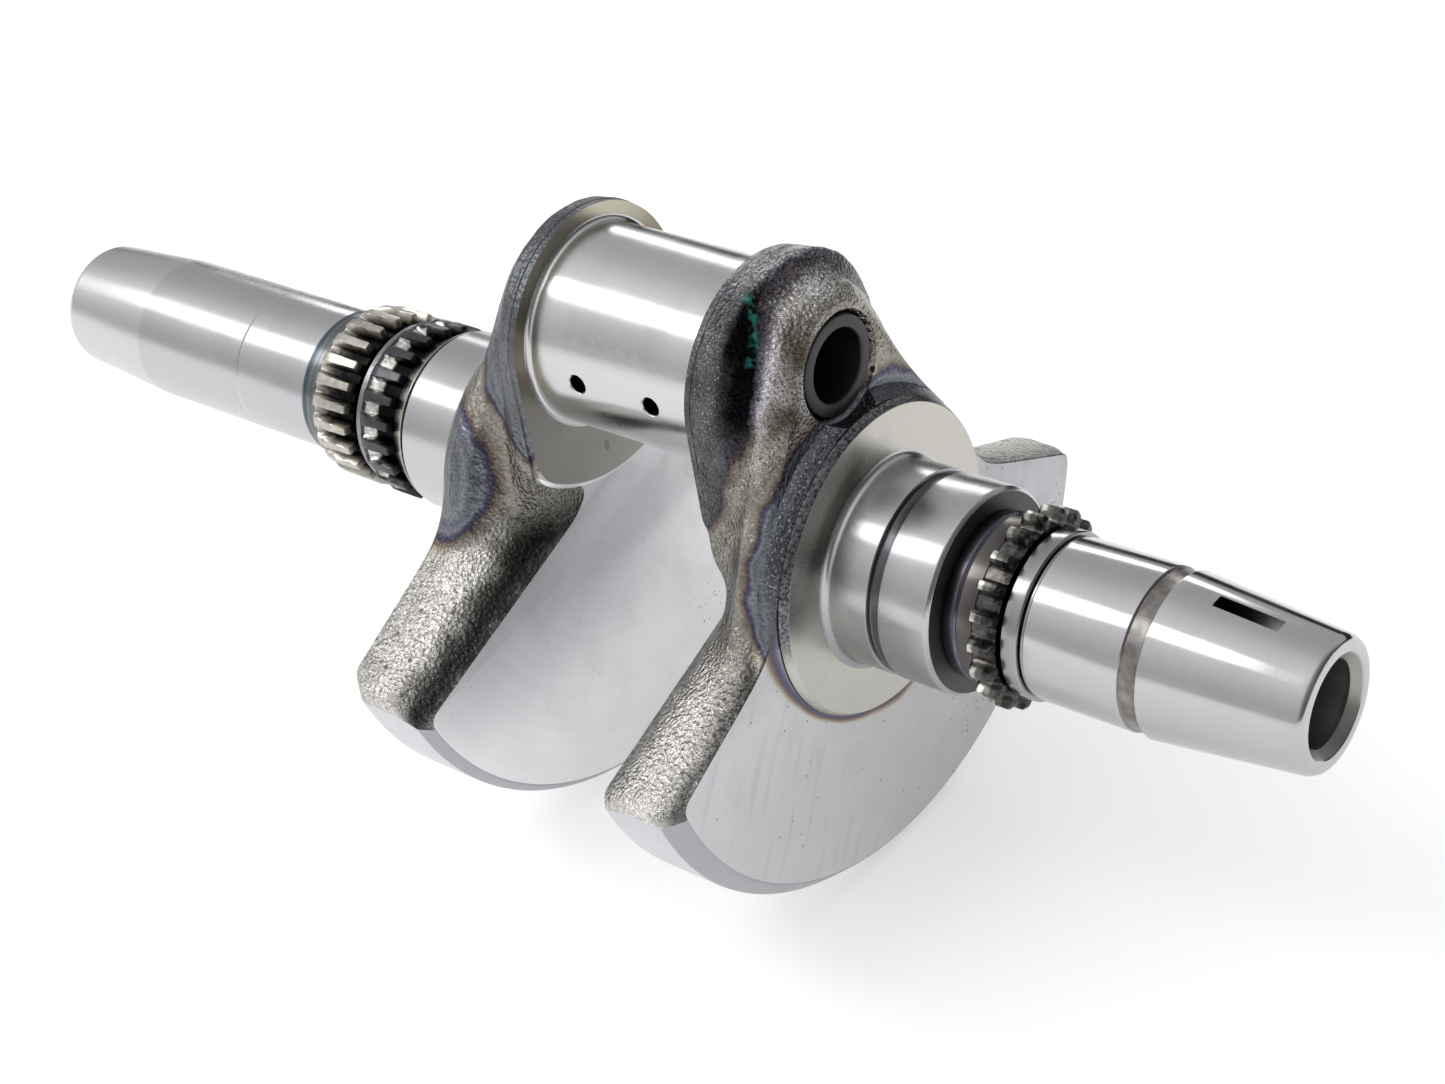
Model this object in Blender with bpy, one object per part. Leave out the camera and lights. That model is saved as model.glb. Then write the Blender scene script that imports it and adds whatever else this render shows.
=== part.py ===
"""Crankshaft of a small V-twin engine, pressed up from webs, journals, a crankpin and end shafts.

Metres, +Z up. +X runs along the main axis towards the keyed end, and +Z runs from the main axis
towards the crankpin. The origin lies under the middle of the length, level with the lowest point.
The main axis carries, from left to right: end shaft, ring stack, journal, web, crankpin, web,
journal, ring stack and end shaft. Every spigot stands in its socket with the seat gap all round.
"""
import math

import bmesh
import bpy

MM = 0.001

# Clearance between pieces that seat on each other
SEAT_GAP = 0.3 * MM

# Crankpin
THROW = 37.5 * MM
PIN_RADIUS = 20.9 * MM
PIN_LENGTH = 43.7 * MM
PIN_EDGE = 0.8 * MM
PIN_SHOULDER = 2.9 * MM
PIN_BORE_WALL = 1.8 * MM
PIN_BORE_FLOOR = 7.0 * MM
LEFT_PIN_SPIGOT_LENGTH = 10.5 * MM
OIL_HOLE_RADIUS = 2.0 * MM
OIL_HOLE_PITCH = 18.9 * MM
OIL_HOLE_LEAN = math.radians(2.0)

# Cup plug that closes the crankpin's bore
PLUG_RADIUS = 10.2 * MM
PLUG_WALL = 2.8 * MM
PLUG_LENGTH = 14.0 * MM
PLUG_FLOOR = 1.5 * MM
PLUG_SETBACK = 0.3 * MM
PLUG_MOUTH_FLARE = 0.8 * MM
PLUG_MOUTH_DEPTH = 1.0 * MM

# Raised machined faces on the webs
PIN_PLATE_THICKNESS = 1.35 * MM
PIN_PLATE_RADIUS = 35.4 * MM
PIN_PLATE_EDGE = 0.3 * MM
THRUST_RING_RADIUS = 32.0 * MM
THRUST_RING_THICKNESS = 2.0 * MM
THRUST_RELIEF_WIDTH = 0.8 * MM
THRUST_RELIEF_DEPTH = 0.3 * MM

# Webs and counterweights
WEB_THICKNESS = 20.85 * MM
LOBE_WALL = 4.2 * MM
LEFT_LOBE_FALL = 0.89
LEFT_SOCKET_WALL = 4.2 * MM
RIGHT_LOBE_RISE = 1.0 * MM
RIGHT_SHOULDER_RADIUS = 18.3 * MM
RIGHT_SHOULDER_RISE = 3.0 * MM
PLUG_FACE_SETBACK = 3.55 * MM
PIN_SOCKET_SETBACK = 7.5 * MM
MAIN_SOCKET_FLOOR = 5.3 * MM
PLUG_FACE_RIM = 2.5 * MM
PLUG_FACE_SLOPE = 0.4 * MM
NECK_RADIUS_INNER = 23.0 * MM
NECK_RADIUS_MIDDLE = 27.5 * MM
NECK_RADIUS_SHOULDER = 36.0 * MM
NECK_STEP = 0.5 * MM
BULGE_DEPTH = 6.0 * MM
SHOULDER_SETBACK = 8.05 * MM
WAIST_DEPTH = 2.4 * MM
COUNTERWEIGHT_RADIUS = 71.6 * MM
INNER_CHAMFER_DEPTH = 2.3 * MM
INNER_CHAMFER_RISE = 2.0 * MM
OUTER_CHAMFER_DEPTH = 4.05 * MM
OUTER_CHAMFER_RISE = 3.5 * MM
FLANK_HEIGHT_OUTER = 17.6 * MM
FLANK_SLOPE_OUTER = 0.5
FLANK_HEIGHT_INNER = 1.9 * MM
FLANK_SLOPE_INNER = 0.338
ROOT_BLEND_LENGTH = 7.0 * MM
ROOT_BLEND_TURN = math.radians(10.0)
TIP_BLEND_LENGTH = 3.0 * MM

# Main journals
LEFT_JOURNAL_RADIUS = 20.1 * MM
RIGHT_JOURNAL_RADIUS = 21.0 * MM
JOURNAL_LENGTH = 24.0 * MM
JOURNAL_EDGE = 0.7 * MM
JOURNAL_SHOULDER = 3.0 * MM
SOCKET_WALL = 3.0 * MM
OIL_GROOVE_START = 9.8 * MM
OIL_GROOVE_WIDTH = 2.9 * MM
OIL_GROOVE_DEPTH = 1.2 * MM

# Spigots of the end shafts, which carry the ring stacks
STACK_SPIGOT_RADIUS = 11.0 * MM
STACK_SOCKET_DEPTH = 19.0 * MM

# Left ring stack, from the journal outwards
SHOULDER_RING_WIDTH = 3.85 * MM
SHOULDER_RING_STEP = 1.7 * MM
INNER_SPROCKET_WIDTH = 11.3 * MM
INNER_SPROCKET_RIM = 1.8 * MM
INNER_SPROCKET_RIM_RADIUS = 18.6 * MM
INNER_SPROCKET_ROOT = 17.2 * MM
INNER_SPROCKET_TIP = 20.0 * MM
INNER_SPROCKET_TEETH = 22
LEFT_SPACER_WIDTH = 2.3 * MM
LEFT_SPACER_RADIUS = 16.0 * MM
OUTER_SPROCKET_WIDTH = 11.8 * MM
OUTER_SPROCKET_ROOT = 17.0 * MM
OUTER_SPROCKET_TIP = 19.9 * MM
OUTER_SPROCKET_TEETH = 24
OUTER_SPROCKET_RUNOUT = 3.0 * MM
TINTED_COLLAR_WIDTH = 5.1 * MM
TINTED_COLLAR_RADIUS = 17.05 * MM

# Right ring stack, from the journal outwards
STEP_COLLAR_WIDTH = 6.5 * MM
STEP_COLLAR_RADIUS = 17.0 * MM
STEP_COLLAR_LINE = 0.5 * MM
RIGHT_SPROCKET_WIDTH = 5.5 * MM
RIGHT_SPROCKET_ROOT = 17.2 * MM
RIGHT_SPROCKET_TIP = 20.0 * MM
RIGHT_SPROCKET_TEETH = 20
RIGHT_SPACER_WIDTH = 2.0 * MM
RIGHT_SPACER_RADIUS = 15.3 * MM
LOCATING_COLLAR_WIDTH = 3.0 * MM
LOCATING_COLLAR_RADIUS = 16.8 * MM
RETAINING_RING_WIDTH = 1.0 * MM
RETAINING_RING_RADIUS = 16.3 * MM
TOOTH_EDGE = 0.5 * MM
RING_EDGE = 0.3 * MM

# Left end shaft, from the ring stack outwards
LEFT_NECK_LENGTH = 22.3 * MM
LEFT_SEAT_LENGTH = 34.7 * MM
LEFT_CONE_LENGTH = 29.0 * MM
LEFT_SHAFT_RADIUS = 16.5 * MM
LEFT_CONE_DROP = 2.0 * MM
LEFT_LINE_WIDTH = 0.6 * MM
LINE_DEPTH = 0.25 * MM

# Right end shaft, from the ring stack outwards
RIGHT_SEAT_LENGTH = 20.1 * MM
RIGHT_GROOVE_WIDTH = 3.85 * MM
RIGHT_GROOVE_DEPTH = 0.5 * MM
RIGHT_CONE_LENGTH = 31.6 * MM
RIGHT_SHAFT_RADIUS = 16.1 * MM
RIGHT_CONE_LIP = 0.2 * MM
RIGHT_CONE_DROP = 3.0 * MM
END_EDGE = 1.0 * MM
END_BORE_RADIUS = 8.5 * MM
END_BORE_FLARE = 1.2 * MM
END_BORE_DEPTH = 45.0 * MM
KEY_SLOT_START = 8.2 * MM
KEY_SLOT_LENGTH = 13.0 * MM
KEY_SLOT_WIDTH = 3.2 * MM
KEY_SLOT_DEPTH = 3.0 * MM

# Facets of round shapes
ROUND_SEGMENTS = 32
PLATE_SEGMENTS = 48
OIL_HOLE_SEGMENTS = 16
LOBE_POINTS = 7
WAIST_POINTS = 2
NECK_POINTS = 3
ROOT_POINTS = 4
TIP_POINTS = 4
RIM_POINTS = 10
SMOOTH_ANGLE = math.radians(30.0)

# Stations along the main axis, measured outwards from the middle of the crankpin
pin_face = PIN_LENGTH / 2
web_inner = pin_face + PIN_PLATE_THICKNESS
web_outer = web_inner + WEB_THICKNESS
thrust_face = web_outer + THRUST_RING_THICKNESS
relief_floor = thrust_face - THRUST_RELIEF_DEPTH
journal_end = thrust_face + JOURNAL_LENGTH
plug_face = web_outer - PLUG_FACE_SETBACK
left_pin_spigot_end = web_inner + LEFT_PIN_SPIGOT_LENGTH
right_pin_spigot_end = plug_face - PIN_SOCKET_SETBACK
main_spigot_end = web_inner + MAIN_SOCKET_FLOOR
left_stack = SHOULDER_RING_WIDTH + INNER_SPROCKET_WIDTH + LEFT_SPACER_WIDTH
left_stack += OUTER_SPROCKET_WIDTH + TINTED_COLLAR_WIDTH
right_stack = STEP_COLLAR_WIDTH + RIGHT_SPROCKET_WIDTH + RIGHT_SPACER_WIDTH
right_stack += LOCATING_COLLAR_WIDTH + RETAINING_RING_WIDTH
left_end = journal_end + left_stack + LEFT_NECK_LENGTH + LEFT_SEAT_LENGTH + LEFT_CONE_LENGTH
right_end = journal_end + right_stack + RIGHT_SEAT_LENGTH + RIGHT_GROOVE_WIDTH + RIGHT_CONE_LENGTH

# Radii that follow from what they fit
plug_bore = PLUG_RADIUS + SEAT_GAP
lobe_radius = PIN_RADIUS + LOBE_WALL
left_lobe_end = lobe_radius - LEFT_LOBE_FALL * (LEFT_PIN_SPIGOT_LENGTH + SEAT_GAP)
left_pin_spigot = left_lobe_end - LEFT_SOCKET_WALL - SEAT_GAP
right_pin_spigot = PIN_RADIUS - PIN_SHOULDER
main_spigot_limit = THROW - right_pin_spigot - 2 * SEAT_GAP - SOCKET_WALL
main_spigot = min(LEFT_JOURNAL_RADIUS - JOURNAL_SHOULDER, main_spigot_limit)
stack_bore = STACK_SPIGOT_RADIUS + SEAT_GAP
plug_height = THROW + right_pin_spigot - PIN_BORE_WALL - plug_bore

# Place of the crankpin's middle and of the main axis in the part's frame
MIDDLE_X = (left_end - right_end) / 2
RIM_TURN = math.pi / 2 - math.atan2(FLANK_SLOPE_OUTER, 1.0)
RIM_HALF_STEP = RIM_TURN / (2 * RIM_POINTS + 1)
AXIS_Z = COUNTERWEIGHT_RADIUS * math.cos(RIM_HALF_STEP)


def clear_scene():
    """Remove every object of the open file."""
    for item in list(bpy.data.objects):
        bpy.data.objects.remove(item, do_unlink=True)


def make_material(name, colour, roughness):
    """A metal with its own colour and roughness."""
    material = bpy.data.materials.new(name)
    material.use_nodes = True
    shader = material.node_tree.nodes["Principled BSDF"]
    shader.inputs["Base Color"].default_value = (*colour, 1.0)
    shader.inputs["Roughness"].default_value = roughness
    shader.inputs["Metallic"].default_value = 1.0
    return material


GROUND = ((0.74, 0.74, 0.74), 0.18)
MACHINED = ((0.70, 0.68, 0.63), 0.38)
FORGED = ((0.36, 0.35, 0.33), 0.55)
TINTED = ((0.38, 0.42, 0.46), 0.30)
DARK_STEEL = ((0.16, 0.16, 0.17), 0.45)
TOOTH_STEEL = ((0.62, 0.60, 0.55), 0.35)


def finish(mesh_data, name, look, height=0.0):
    """Close a mesh up, shade it and place it as a named piece on the main axis."""
    bmesh.ops.remove_doubles(mesh_data, verts=mesh_data.verts, dist=1e-6)
    bmesh.ops.recalc_face_normals(mesh_data, faces=mesh_data.faces)
    mesh = bpy.data.meshes.new(name)
    mesh_data.to_mesh(mesh)
    mesh_data.free()
    mesh.shade_smooth()
    mesh.set_sharp_from_angle(angle=SMOOTH_ANGLE)
    piece = bpy.data.objects.new(name, mesh)
    piece.location = (MIDDLE_X, 0.0, AXIS_Z + height)
    mesh.materials.append(make_material(name + "_steel", *look))
    bpy.context.collection.objects.link(piece)
    return piece


def turned(name, profile, look, height=0.0, segments=ROUND_SEGMENTS):
    """Spin a closed profile of (station, radius) points about the X axis."""
    work = bmesh.new()
    corners = [work.verts.new((station, 0.0, radius)) for station, radius in profile]
    pairs = list(zip(corners, corners[1:]))
    if profile[0][1] > 0.0:
        pairs.append((corners[-1], corners[0]))
    edges = [work.edges.new(pair) for pair in pairs]
    bmesh.ops.spin(
        work,
        geom=corners + edges,
        cent=(0.0, 0.0, 0.0),
        axis=(1.0, 0.0, 0.0),
        angle=2 * math.pi,
        steps=segments,
        use_merge=True,
    )
    return finish(work, name, look, height)


def ring(name, start, end, outer, inner, edge, look):
    """A turned ring with a small chamfer on both outer edges."""
    low, high = sorted((start, end))
    profile = [
        (low, inner),
        (low, outer - edge),
        (low + edge, outer),
        (high - edge, outer),
        (high, outer - edge),
        (high, inner),
    ]
    return turned(name, profile, look)


def bridge_loops(work, loops, closed):
    """Join a row of point loops with quads, and back to the first loop if closed."""
    rows = [[work.verts.new(point) for point in loop] for loop in loops]
    count = len(rows[0])
    pairs = list(zip(rows, rows[1:]))
    if closed:
        pairs.append((rows[-1], rows[0]))
    for first, second in pairs:
        for index in range(count):
            following = (index + 1) % count
            work.faces.new((first[index], first[following], second[following], second[index]))
    if not closed:
        work.faces.new(rows[0])
        work.faces.new(rows[-1])


def cut(piece, cutter):
    """Take a cutter's shape out of a piece."""
    cutter.hide_render = True
    cutter.display_type = "WIRE"
    modifier = piece.modifiers.new(cutter.name, "BOOLEAN")
    modifier.operation = "DIFFERENCE"
    modifier.solver = "EXACT"
    modifier.object = cutter


def rod_cutter(name, start, end, radius, height=0.0):
    """A plain round cutter along the main axis."""
    profile = [(start, 0.0), (start, radius), (end, radius), (end, 0.0)]
    return turned(name, profile, DARK_STEEL, height)


def toothed_loop(station, root, tip, teeth):
    """One turn of trapezoid teeth at a station."""
    shares = ((-0.32, root), (-0.14, tip), (0.14, tip), (0.32, root))
    points = []
    for tooth in range(teeth):
        for share, radius in shares:
            angle = 2 * math.pi * (tooth + share) / teeth
            points.append((station, radius * math.cos(angle), radius * math.sin(angle)))
    return points


def plain_loop(station, radius, teeth):
    """A round loop with the same points as a turn of teeth."""
    return toothed_loop(station, radius, radius, teeth)


def sprocket(name, loops, bore, teeth, look):
    """Close a row of toothed loops through a round bore."""
    work = bmesh.new()
    first = loops[0][0][0]
    last = loops[-1][0][0]
    inside = [plain_loop(last, bore, teeth), plain_loop(first, bore, teeth)]
    bridge_loops(work, loops + inside, closed=True)
    return finish(work, name, look)


def bezier(start, corner, end, count):
    """Points of a curve from start to end that leans on a corner, without its ends."""
    points = []
    for step in range(1, count + 1):
        share = step / (count + 1)
        keep = (1 - share) ** 2
        lean = 2 * share * (1 - share)
        reach = share * share
        y = keep * start[0] + lean * corner[0] + reach * end[0]
        z = keep * start[1] + lean * corner[1] + reach * end[1]
        points.append((y, z))
    return points


def flank_crossing(height, slope, radius):
    """Where a counterweight flank meets a circle about the main axis."""
    a = 1 + slope * slope
    b = -2 * height * slope
    c = height * height - radius * radius
    y = (-b + math.sqrt(b * b - 4 * a * c)) / (2 * a)
    return y, height - slope * y


def web_outline(lobe_height, lobe, waist, neck, flank_height, flank_slope, rim):
    """Outline of a web in (y, z): crankpin lobe, waist, neck, flank, tip and rim, on both sides."""
    tangent = math.asin((neck - lobe) / lobe_height)
    half = []
    for step in range(LOBE_POINTS):
        angle = math.pi / 2 + (tangent - math.pi / 2) * step / (LOBE_POINTS - 1)
        half.append((lobe * math.cos(angle), lobe_height + lobe * math.sin(angle)))
    root = flank_crossing(flank_height, flank_slope, neck)
    root_angle = math.atan2(root[1], root[0])
    blend = root_angle + min(ROOT_BLEND_TURN, 0.6 * (tangent - root_angle))
    shoulder = half[-1]
    flare = (neck * math.cos(tangent), neck * math.sin(tangent))
    middle_y = (shoulder[0] + flare[0]) / 2 - waist * math.cos(tangent)
    middle_z = (shoulder[1] + flare[1]) / 2 - waist * math.sin(tangent)
    half += bezier(shoulder, (middle_y, middle_z), flare, WAIST_POINTS)
    for step in range(NECK_POINTS):
        angle = tangent + (blend - tangent) * step / (NECK_POINTS - 1)
        half.append((neck * math.cos(angle), neck * math.sin(angle)))
    tip = flank_crossing(flank_height, flank_slope, rim)
    run = math.hypot(1.0, flank_slope)
    along = (1.0 / run, -flank_slope / run)
    foot = (root[0] + ROOT_BLEND_LENGTH * along[0], root[1] + ROOT_BLEND_LENGTH * along[1])
    half += bezier(half[-1], root, foot, ROOT_POINTS)
    half.append(foot)
    brow = (tip[0] - TIP_BLEND_LENGTH * along[0], tip[1] - TIP_BLEND_LENGTH * along[1])
    half.append(brow)
    rim_start = math.atan2(tip[1], tip[0]) - TIP_BLEND_LENGTH / rim
    corner = (rim * math.cos(rim_start), rim * math.sin(rim_start))
    half += bezier(brow, tip, corner, TIP_POINTS)
    rim_end = RIM_HALF_STEP - math.pi / 2
    for step in range(RIM_POINTS + 1):
        angle = rim_start + (rim_end - rim_start) * step / RIM_POINTS
        half.append((rim * math.cos(angle), rim * math.sin(angle)))
    mirrored = [(-y, z) for y, z in reversed(half[1:])]
    return half + mirrored


def between(first, second, share):
    """A value part of the way from the first to the second."""
    return first + (second - first) * share


def left_lobes(stations):
    """Height and radius of the left lobe, which falls off like a cone towards the outer face."""
    return [(THROW, lobe_radius - LEFT_LOBE_FALL * (station - web_inner)) for station in stations]


def right_lobes(stations):
    """Height and radius of the right lobe, a dome that ends in the plug's flat face."""
    inner, edge, bulge, shoulder, chamfer, plug = stations
    plug_lobe = plug_bore + PLUG_FACE_RIM
    shoulder_height = THROW + RIGHT_SHOULDER_RISE
    share = (chamfer - shoulder) / (plug - shoulder)
    height = between(shoulder_height, plug_height, share)
    radius = between(RIGHT_SHOULDER_RADIUS, plug_lobe, share)
    rise = RIGHT_LOBE_RISE * (edge - inner) / (bulge - inner)
    return [
        (THROW, lobe_radius),
        (THROW + rise, lobe_radius),
        (THROW + RIGHT_LOBE_RISE, lobe_radius),
        (shoulder_height, RIGHT_SHOULDER_RADIUS),
        (height, radius),
        (plug_height, plug_lobe),
    ]


def web_sections(lobes_of):
    """Station and outline of each section of a web, from its inner to its outer face."""
    chamfer_start = web_outer - OUTER_CHAMFER_DEPTH
    stations = [
        web_inner,
        web_inner + INNER_CHAMFER_DEPTH,
        web_inner + BULGE_DEPTH,
        web_outer - SHOULDER_SETBACK,
        chamfer_start,
        plug_face,
    ]
    lobes = lobes_of(stations)
    ring_neck = THRUST_RING_RADIUS + NECK_STEP
    hidden = (ring_neck / 2, ring_neck / 2 + 2 * NECK_STEP)
    stations += [plug_face + PLUG_FACE_SLOPE, web_outer]
    lobes += [hidden, hidden]
    necks = (
        NECK_RADIUS_INNER,
        NECK_RADIUS_INNER + NECK_STEP,
        NECK_RADIUS_MIDDLE,
        NECK_RADIUS_SHOULDER,
        ring_neck + 2 * NECK_STEP,
        ring_neck + 2 * NECK_STEP,
        ring_neck + NECK_STEP,
        ring_neck,
    )
    waists = (0.0, 0.0, WAIST_DEPTH / 2, WAIST_DEPTH, WAIST_DEPTH, WAIST_DEPTH, 0.0, 0.0)
    sections = []
    for station, lobe, neck, waist in zip(stations, lobes, necks, waists):
        inward = (web_outer - station) / WEB_THICKNESS
        flank_height = between(FLANK_HEIGHT_OUTER, FLANK_HEIGHT_INNER, inward ** 3)
        flank_slope = between(FLANK_SLOPE_OUTER, FLANK_SLOPE_INNER, inward ** 2)
        outer_cut = max(0.0, (station - chamfer_start) / OUTER_CHAMFER_DEPTH) * OUTER_CHAMFER_RISE
        inner_share = 1 - (station - web_inner) / INNER_CHAMFER_DEPTH
        inner_cut = max(0.0, inner_share) * INNER_CHAMFER_RISE
        rim = COUNTERWEIGHT_RADIUS - outer_cut - inner_cut
        sections.append((station, web_outline(*lobe, waist, neck, flank_height, flank_slope, rim)))
    return sections


def make_web(side, sign, lobes_of, pin_spigot, pin_spigot_end):
    """A forged web with sockets for the crankpin and the main journal."""
    sections = web_sections(lobes_of)
    loops = [[(sign * station, y, z) for y, z in outline] for station, outline in sections]
    work = bmesh.new()
    bridge_loops(work, loops, closed=False)
    web = finish(work, side + "_web", FORGED)
    span = (sign * (web_inner - SEAT_GAP), sign * (pin_spigot_end + SEAT_GAP))
    cut(web, rod_cutter(side + "_pin_socket", *span, pin_spigot + SEAT_GAP, THROW))
    span = (sign * (main_spigot_end - SEAT_GAP), sign * (web_outer + SEAT_GAP))
    cut(web, rod_cutter(side + "_main_socket", *span, main_spigot + SEAT_GAP))
    return web


def cut_plug_socket(web):
    """Open the right web's lobe for the cup plug, with a flared mouth."""
    mouth = plug_bore + PLUG_MOUTH_FLARE
    past = web_outer + SEAT_GAP
    profile = [
        (right_pin_spigot_end, 0.0),
        (right_pin_spigot_end, plug_bore),
        (plug_face - PLUG_MOUTH_DEPTH, plug_bore),
        (plug_face, mouth),
        (past, mouth),
        (past, 0.0),
    ]
    cut(web, turned("plug_socket", profile, DARK_STEEL, plug_height))


def make_pin_plate(side, sign, pin_spigot):
    """The raised machined face round the crankpin, cut off where the web's lobe ends."""
    reach = lobe_radius - PIN_PLATE_EDGE
    outline = []
    for step in range(PLATE_SEGMENTS):
        angle = 2 * math.pi * step / PLATE_SEGMENTS
        radius = reach
        if math.sin(angle) < 0.0:
            sideways = max(abs(math.cos(angle)), reach / PIN_PLATE_RADIUS)
            radius = reach / sideways
        outline.append((radius * math.cos(angle), radius * math.sin(angle)))
    hole = pin_spigot + SEAT_GAP
    faces = (pin_face, web_inner - SEAT_GAP)
    outside = [[(sign * station, y, z) for y, z in outline] for station in faces]
    inside = []
    for station in reversed(faces):
        shrink = [hole / math.hypot(y, z) for y, z in outline]
        inside.append([(sign * station, y * k, z * k) for (y, z), k in zip(outline, shrink)])
    work = bmesh.new()
    bridge_loops(work, outside + inside, closed=True)
    return finish(work, side + "_pin_thrust_plate", MACHINED, THROW)


def make_crankpin():
    """The ground crankpin, bored off centre from the right, with an oil hole for each rod."""
    body = pin_face - SEAT_GAP
    profile = [
        (-left_pin_spigot_end, 0.0),
        (-left_pin_spigot_end, left_pin_spigot),
        (-body, left_pin_spigot),
        (-body, PIN_RADIUS - PIN_EDGE),
        (PIN_EDGE - body, PIN_RADIUS),
        (body - PIN_EDGE, PIN_RADIUS),
        (body, PIN_RADIUS - PIN_EDGE),
        (body, right_pin_spigot),
        (right_pin_spigot_end, right_pin_spigot),
        (right_pin_spigot_end, 0.0),
    ]
    pin = turned("crankpin", profile, GROUND, THROW)
    span = (PIN_BORE_FLOOR - body, right_pin_spigot_end + SEAT_GAP)
    cut(pin, rod_cutter("crankpin_bore", *span, plug_bore, plug_height))
    for label, sign in (("left", -1), ("right", 1)):
        work = bmesh.new()
        bmesh.ops.create_cone(
            work,
            cap_ends=True,
            segments=OIL_HOLE_SEGMENTS,
            radius1=OIL_HOLE_RADIUS,
            radius2=OIL_HOLE_RADIUS,
            depth=2 * PIN_RADIUS - plug_bore,
        )
        drill = finish(work, label + "_oil_hole", DARK_STEEL, THROW)
        drill.rotation_euler = (math.pi / 2 + OIL_HOLE_LEAN, 0.0, 0.0)
        drill.location.x += sign * OIL_HOLE_PITCH / 2
        drill.location.y -= PIN_RADIUS
        cut(pin, drill)
    return pin


def make_plug():
    """A cup plug, open outwards, that stands in the right web and reaches into the crankpin's bore."""
    mouth = plug_face - PLUG_SETBACK
    back = mouth - PLUG_LENGTH
    inside = PLUG_RADIUS - PLUG_WALL
    profile = [
        (back, 0.0),
        (back, PLUG_RADIUS),
        (mouth, PLUG_RADIUS),
        (mouth, inside),
        (back + PLUG_FLOOR, inside),
        (back + PLUG_FLOOR, 0.0),
    ]
    return turned("pin_plug", profile, DARK_STEEL, plug_height)


def make_thrust_ring(side, sign, journal):
    """The raised machined disc round the main journal, relieved at the journal's root."""
    start = web_outer + SEAT_GAP
    outer = THRUST_RING_RADIUS
    relief = journal + THRUST_RELIEF_WIDTH
    bore = main_spigot + SEAT_GAP
    profile = [
        (start, bore),
        (start, outer - RING_EDGE),
        (start + RING_EDGE, outer),
        (thrust_face - RING_EDGE, outer),
        (thrust_face, outer - RING_EDGE),
        (thrust_face, relief),
        (relief_floor, relief),
        (relief_floor, bore),
    ]
    mirrored = [(sign * station, distance) for station, distance in profile]
    return turned(side + "_thrust_ring", mirrored, MACHINED)


def make_journal(side, sign, radius, groove):
    """A ground main journal, with a spigot for its web and a socket for its end shaft."""
    start = relief_floor + SEAT_GAP
    profile = [
        (main_spigot_end, 0.0),
        (main_spigot_end, main_spigot),
        (start, main_spigot),
        (start, radius - JOURNAL_EDGE),
        (start + JOURNAL_EDGE, radius),
    ]
    if groove:
        groove_start = thrust_face + OIL_GROOVE_START
        groove_end = groove_start + OIL_GROOVE_WIDTH
        floor = radius - OIL_GROOVE_DEPTH
        profile += [
            (groove_start, radius),
            (groove_start, floor),
            (groove_end, floor),
            (groove_end, radius),
        ]
    socket = journal_end - STACK_SOCKET_DEPTH - SEAT_GAP
    profile += [
        (journal_end - JOURNAL_EDGE, radius),
        (journal_end, radius - JOURNAL_EDGE),
        (journal_end, stack_bore),
        (socket, stack_bore),
        (socket, 0.0),
    ]
    mirrored = [(sign * station, distance) for station, distance in profile]
    return turned(side + "_main_journal", mirrored, GROUND)


def make_left_stack():
    """Cone ring, two toothed rings with a spacer, and the heat-tinted collar."""
    start = journal_end
    end = start + SHOULDER_RING_WIDTH
    high = LEFT_JOURNAL_RADIUS - RING_EDGE
    profile = [
        (-start - SEAT_GAP, stack_bore),
        (-start - SEAT_GAP, high),
        (-end, high - SHOULDER_RING_STEP),
        (-end, stack_bore),
    ]
    turned("left_shoulder_ring", profile, GROUND)
    start, end = end, end + INNER_SPROCKET_WIDTH
    rim = end - INNER_SPROCKET_RIM
    root = INNER_SPROCKET_ROOT
    tip = INNER_SPROCKET_TIP
    teeth = INNER_SPROCKET_TEETH
    loops = [
        toothed_loop(-start - SEAT_GAP, root, tip - TOOTH_EDGE, teeth),
        toothed_loop(-start - SEAT_GAP - TOOTH_EDGE, root, tip, teeth),
        toothed_loop(-rim, root, tip, teeth),
        plain_loop(-rim - TOOTH_EDGE, INNER_SPROCKET_RIM_RADIUS, teeth),
        plain_loop(-end, INNER_SPROCKET_RIM_RADIUS, teeth),
    ]
    sprocket("left_inner_sprocket", loops, stack_bore, teeth, DARK_STEEL)
    start, end = end, end + LEFT_SPACER_WIDTH
    ring("left_spacer_ring", -start - SEAT_GAP, -end, LEFT_SPACER_RADIUS, stack_bore, RING_EDGE, DARK_STEEL)
    start, end = end, end + OUTER_SPROCKET_WIDTH
    root = OUTER_SPROCKET_ROOT
    tip = OUTER_SPROCKET_TIP
    teeth = OUTER_SPROCKET_TEETH
    loops = [
        toothed_loop(-start - SEAT_GAP, root, tip - TOOTH_EDGE, teeth),
        toothed_loop(-start - SEAT_GAP - TOOTH_EDGE, root, tip, teeth),
        toothed_loop(-end + OUTER_SPROCKET_RUNOUT, root, tip, teeth),
        plain_loop(-end + TOOTH_EDGE, root, teeth),
        plain_loop(-end, root, teeth),
    ]
    sprocket("left_outer_sprocket", loops, stack_bore, teeth, TOOTH_STEEL)
    start, end = end, end + TINTED_COLLAR_WIDTH
    ring("left_tinted_collar", -start - SEAT_GAP, -end, TINTED_COLLAR_RADIUS, stack_bore, RING_EDGE, TINTED)


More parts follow.
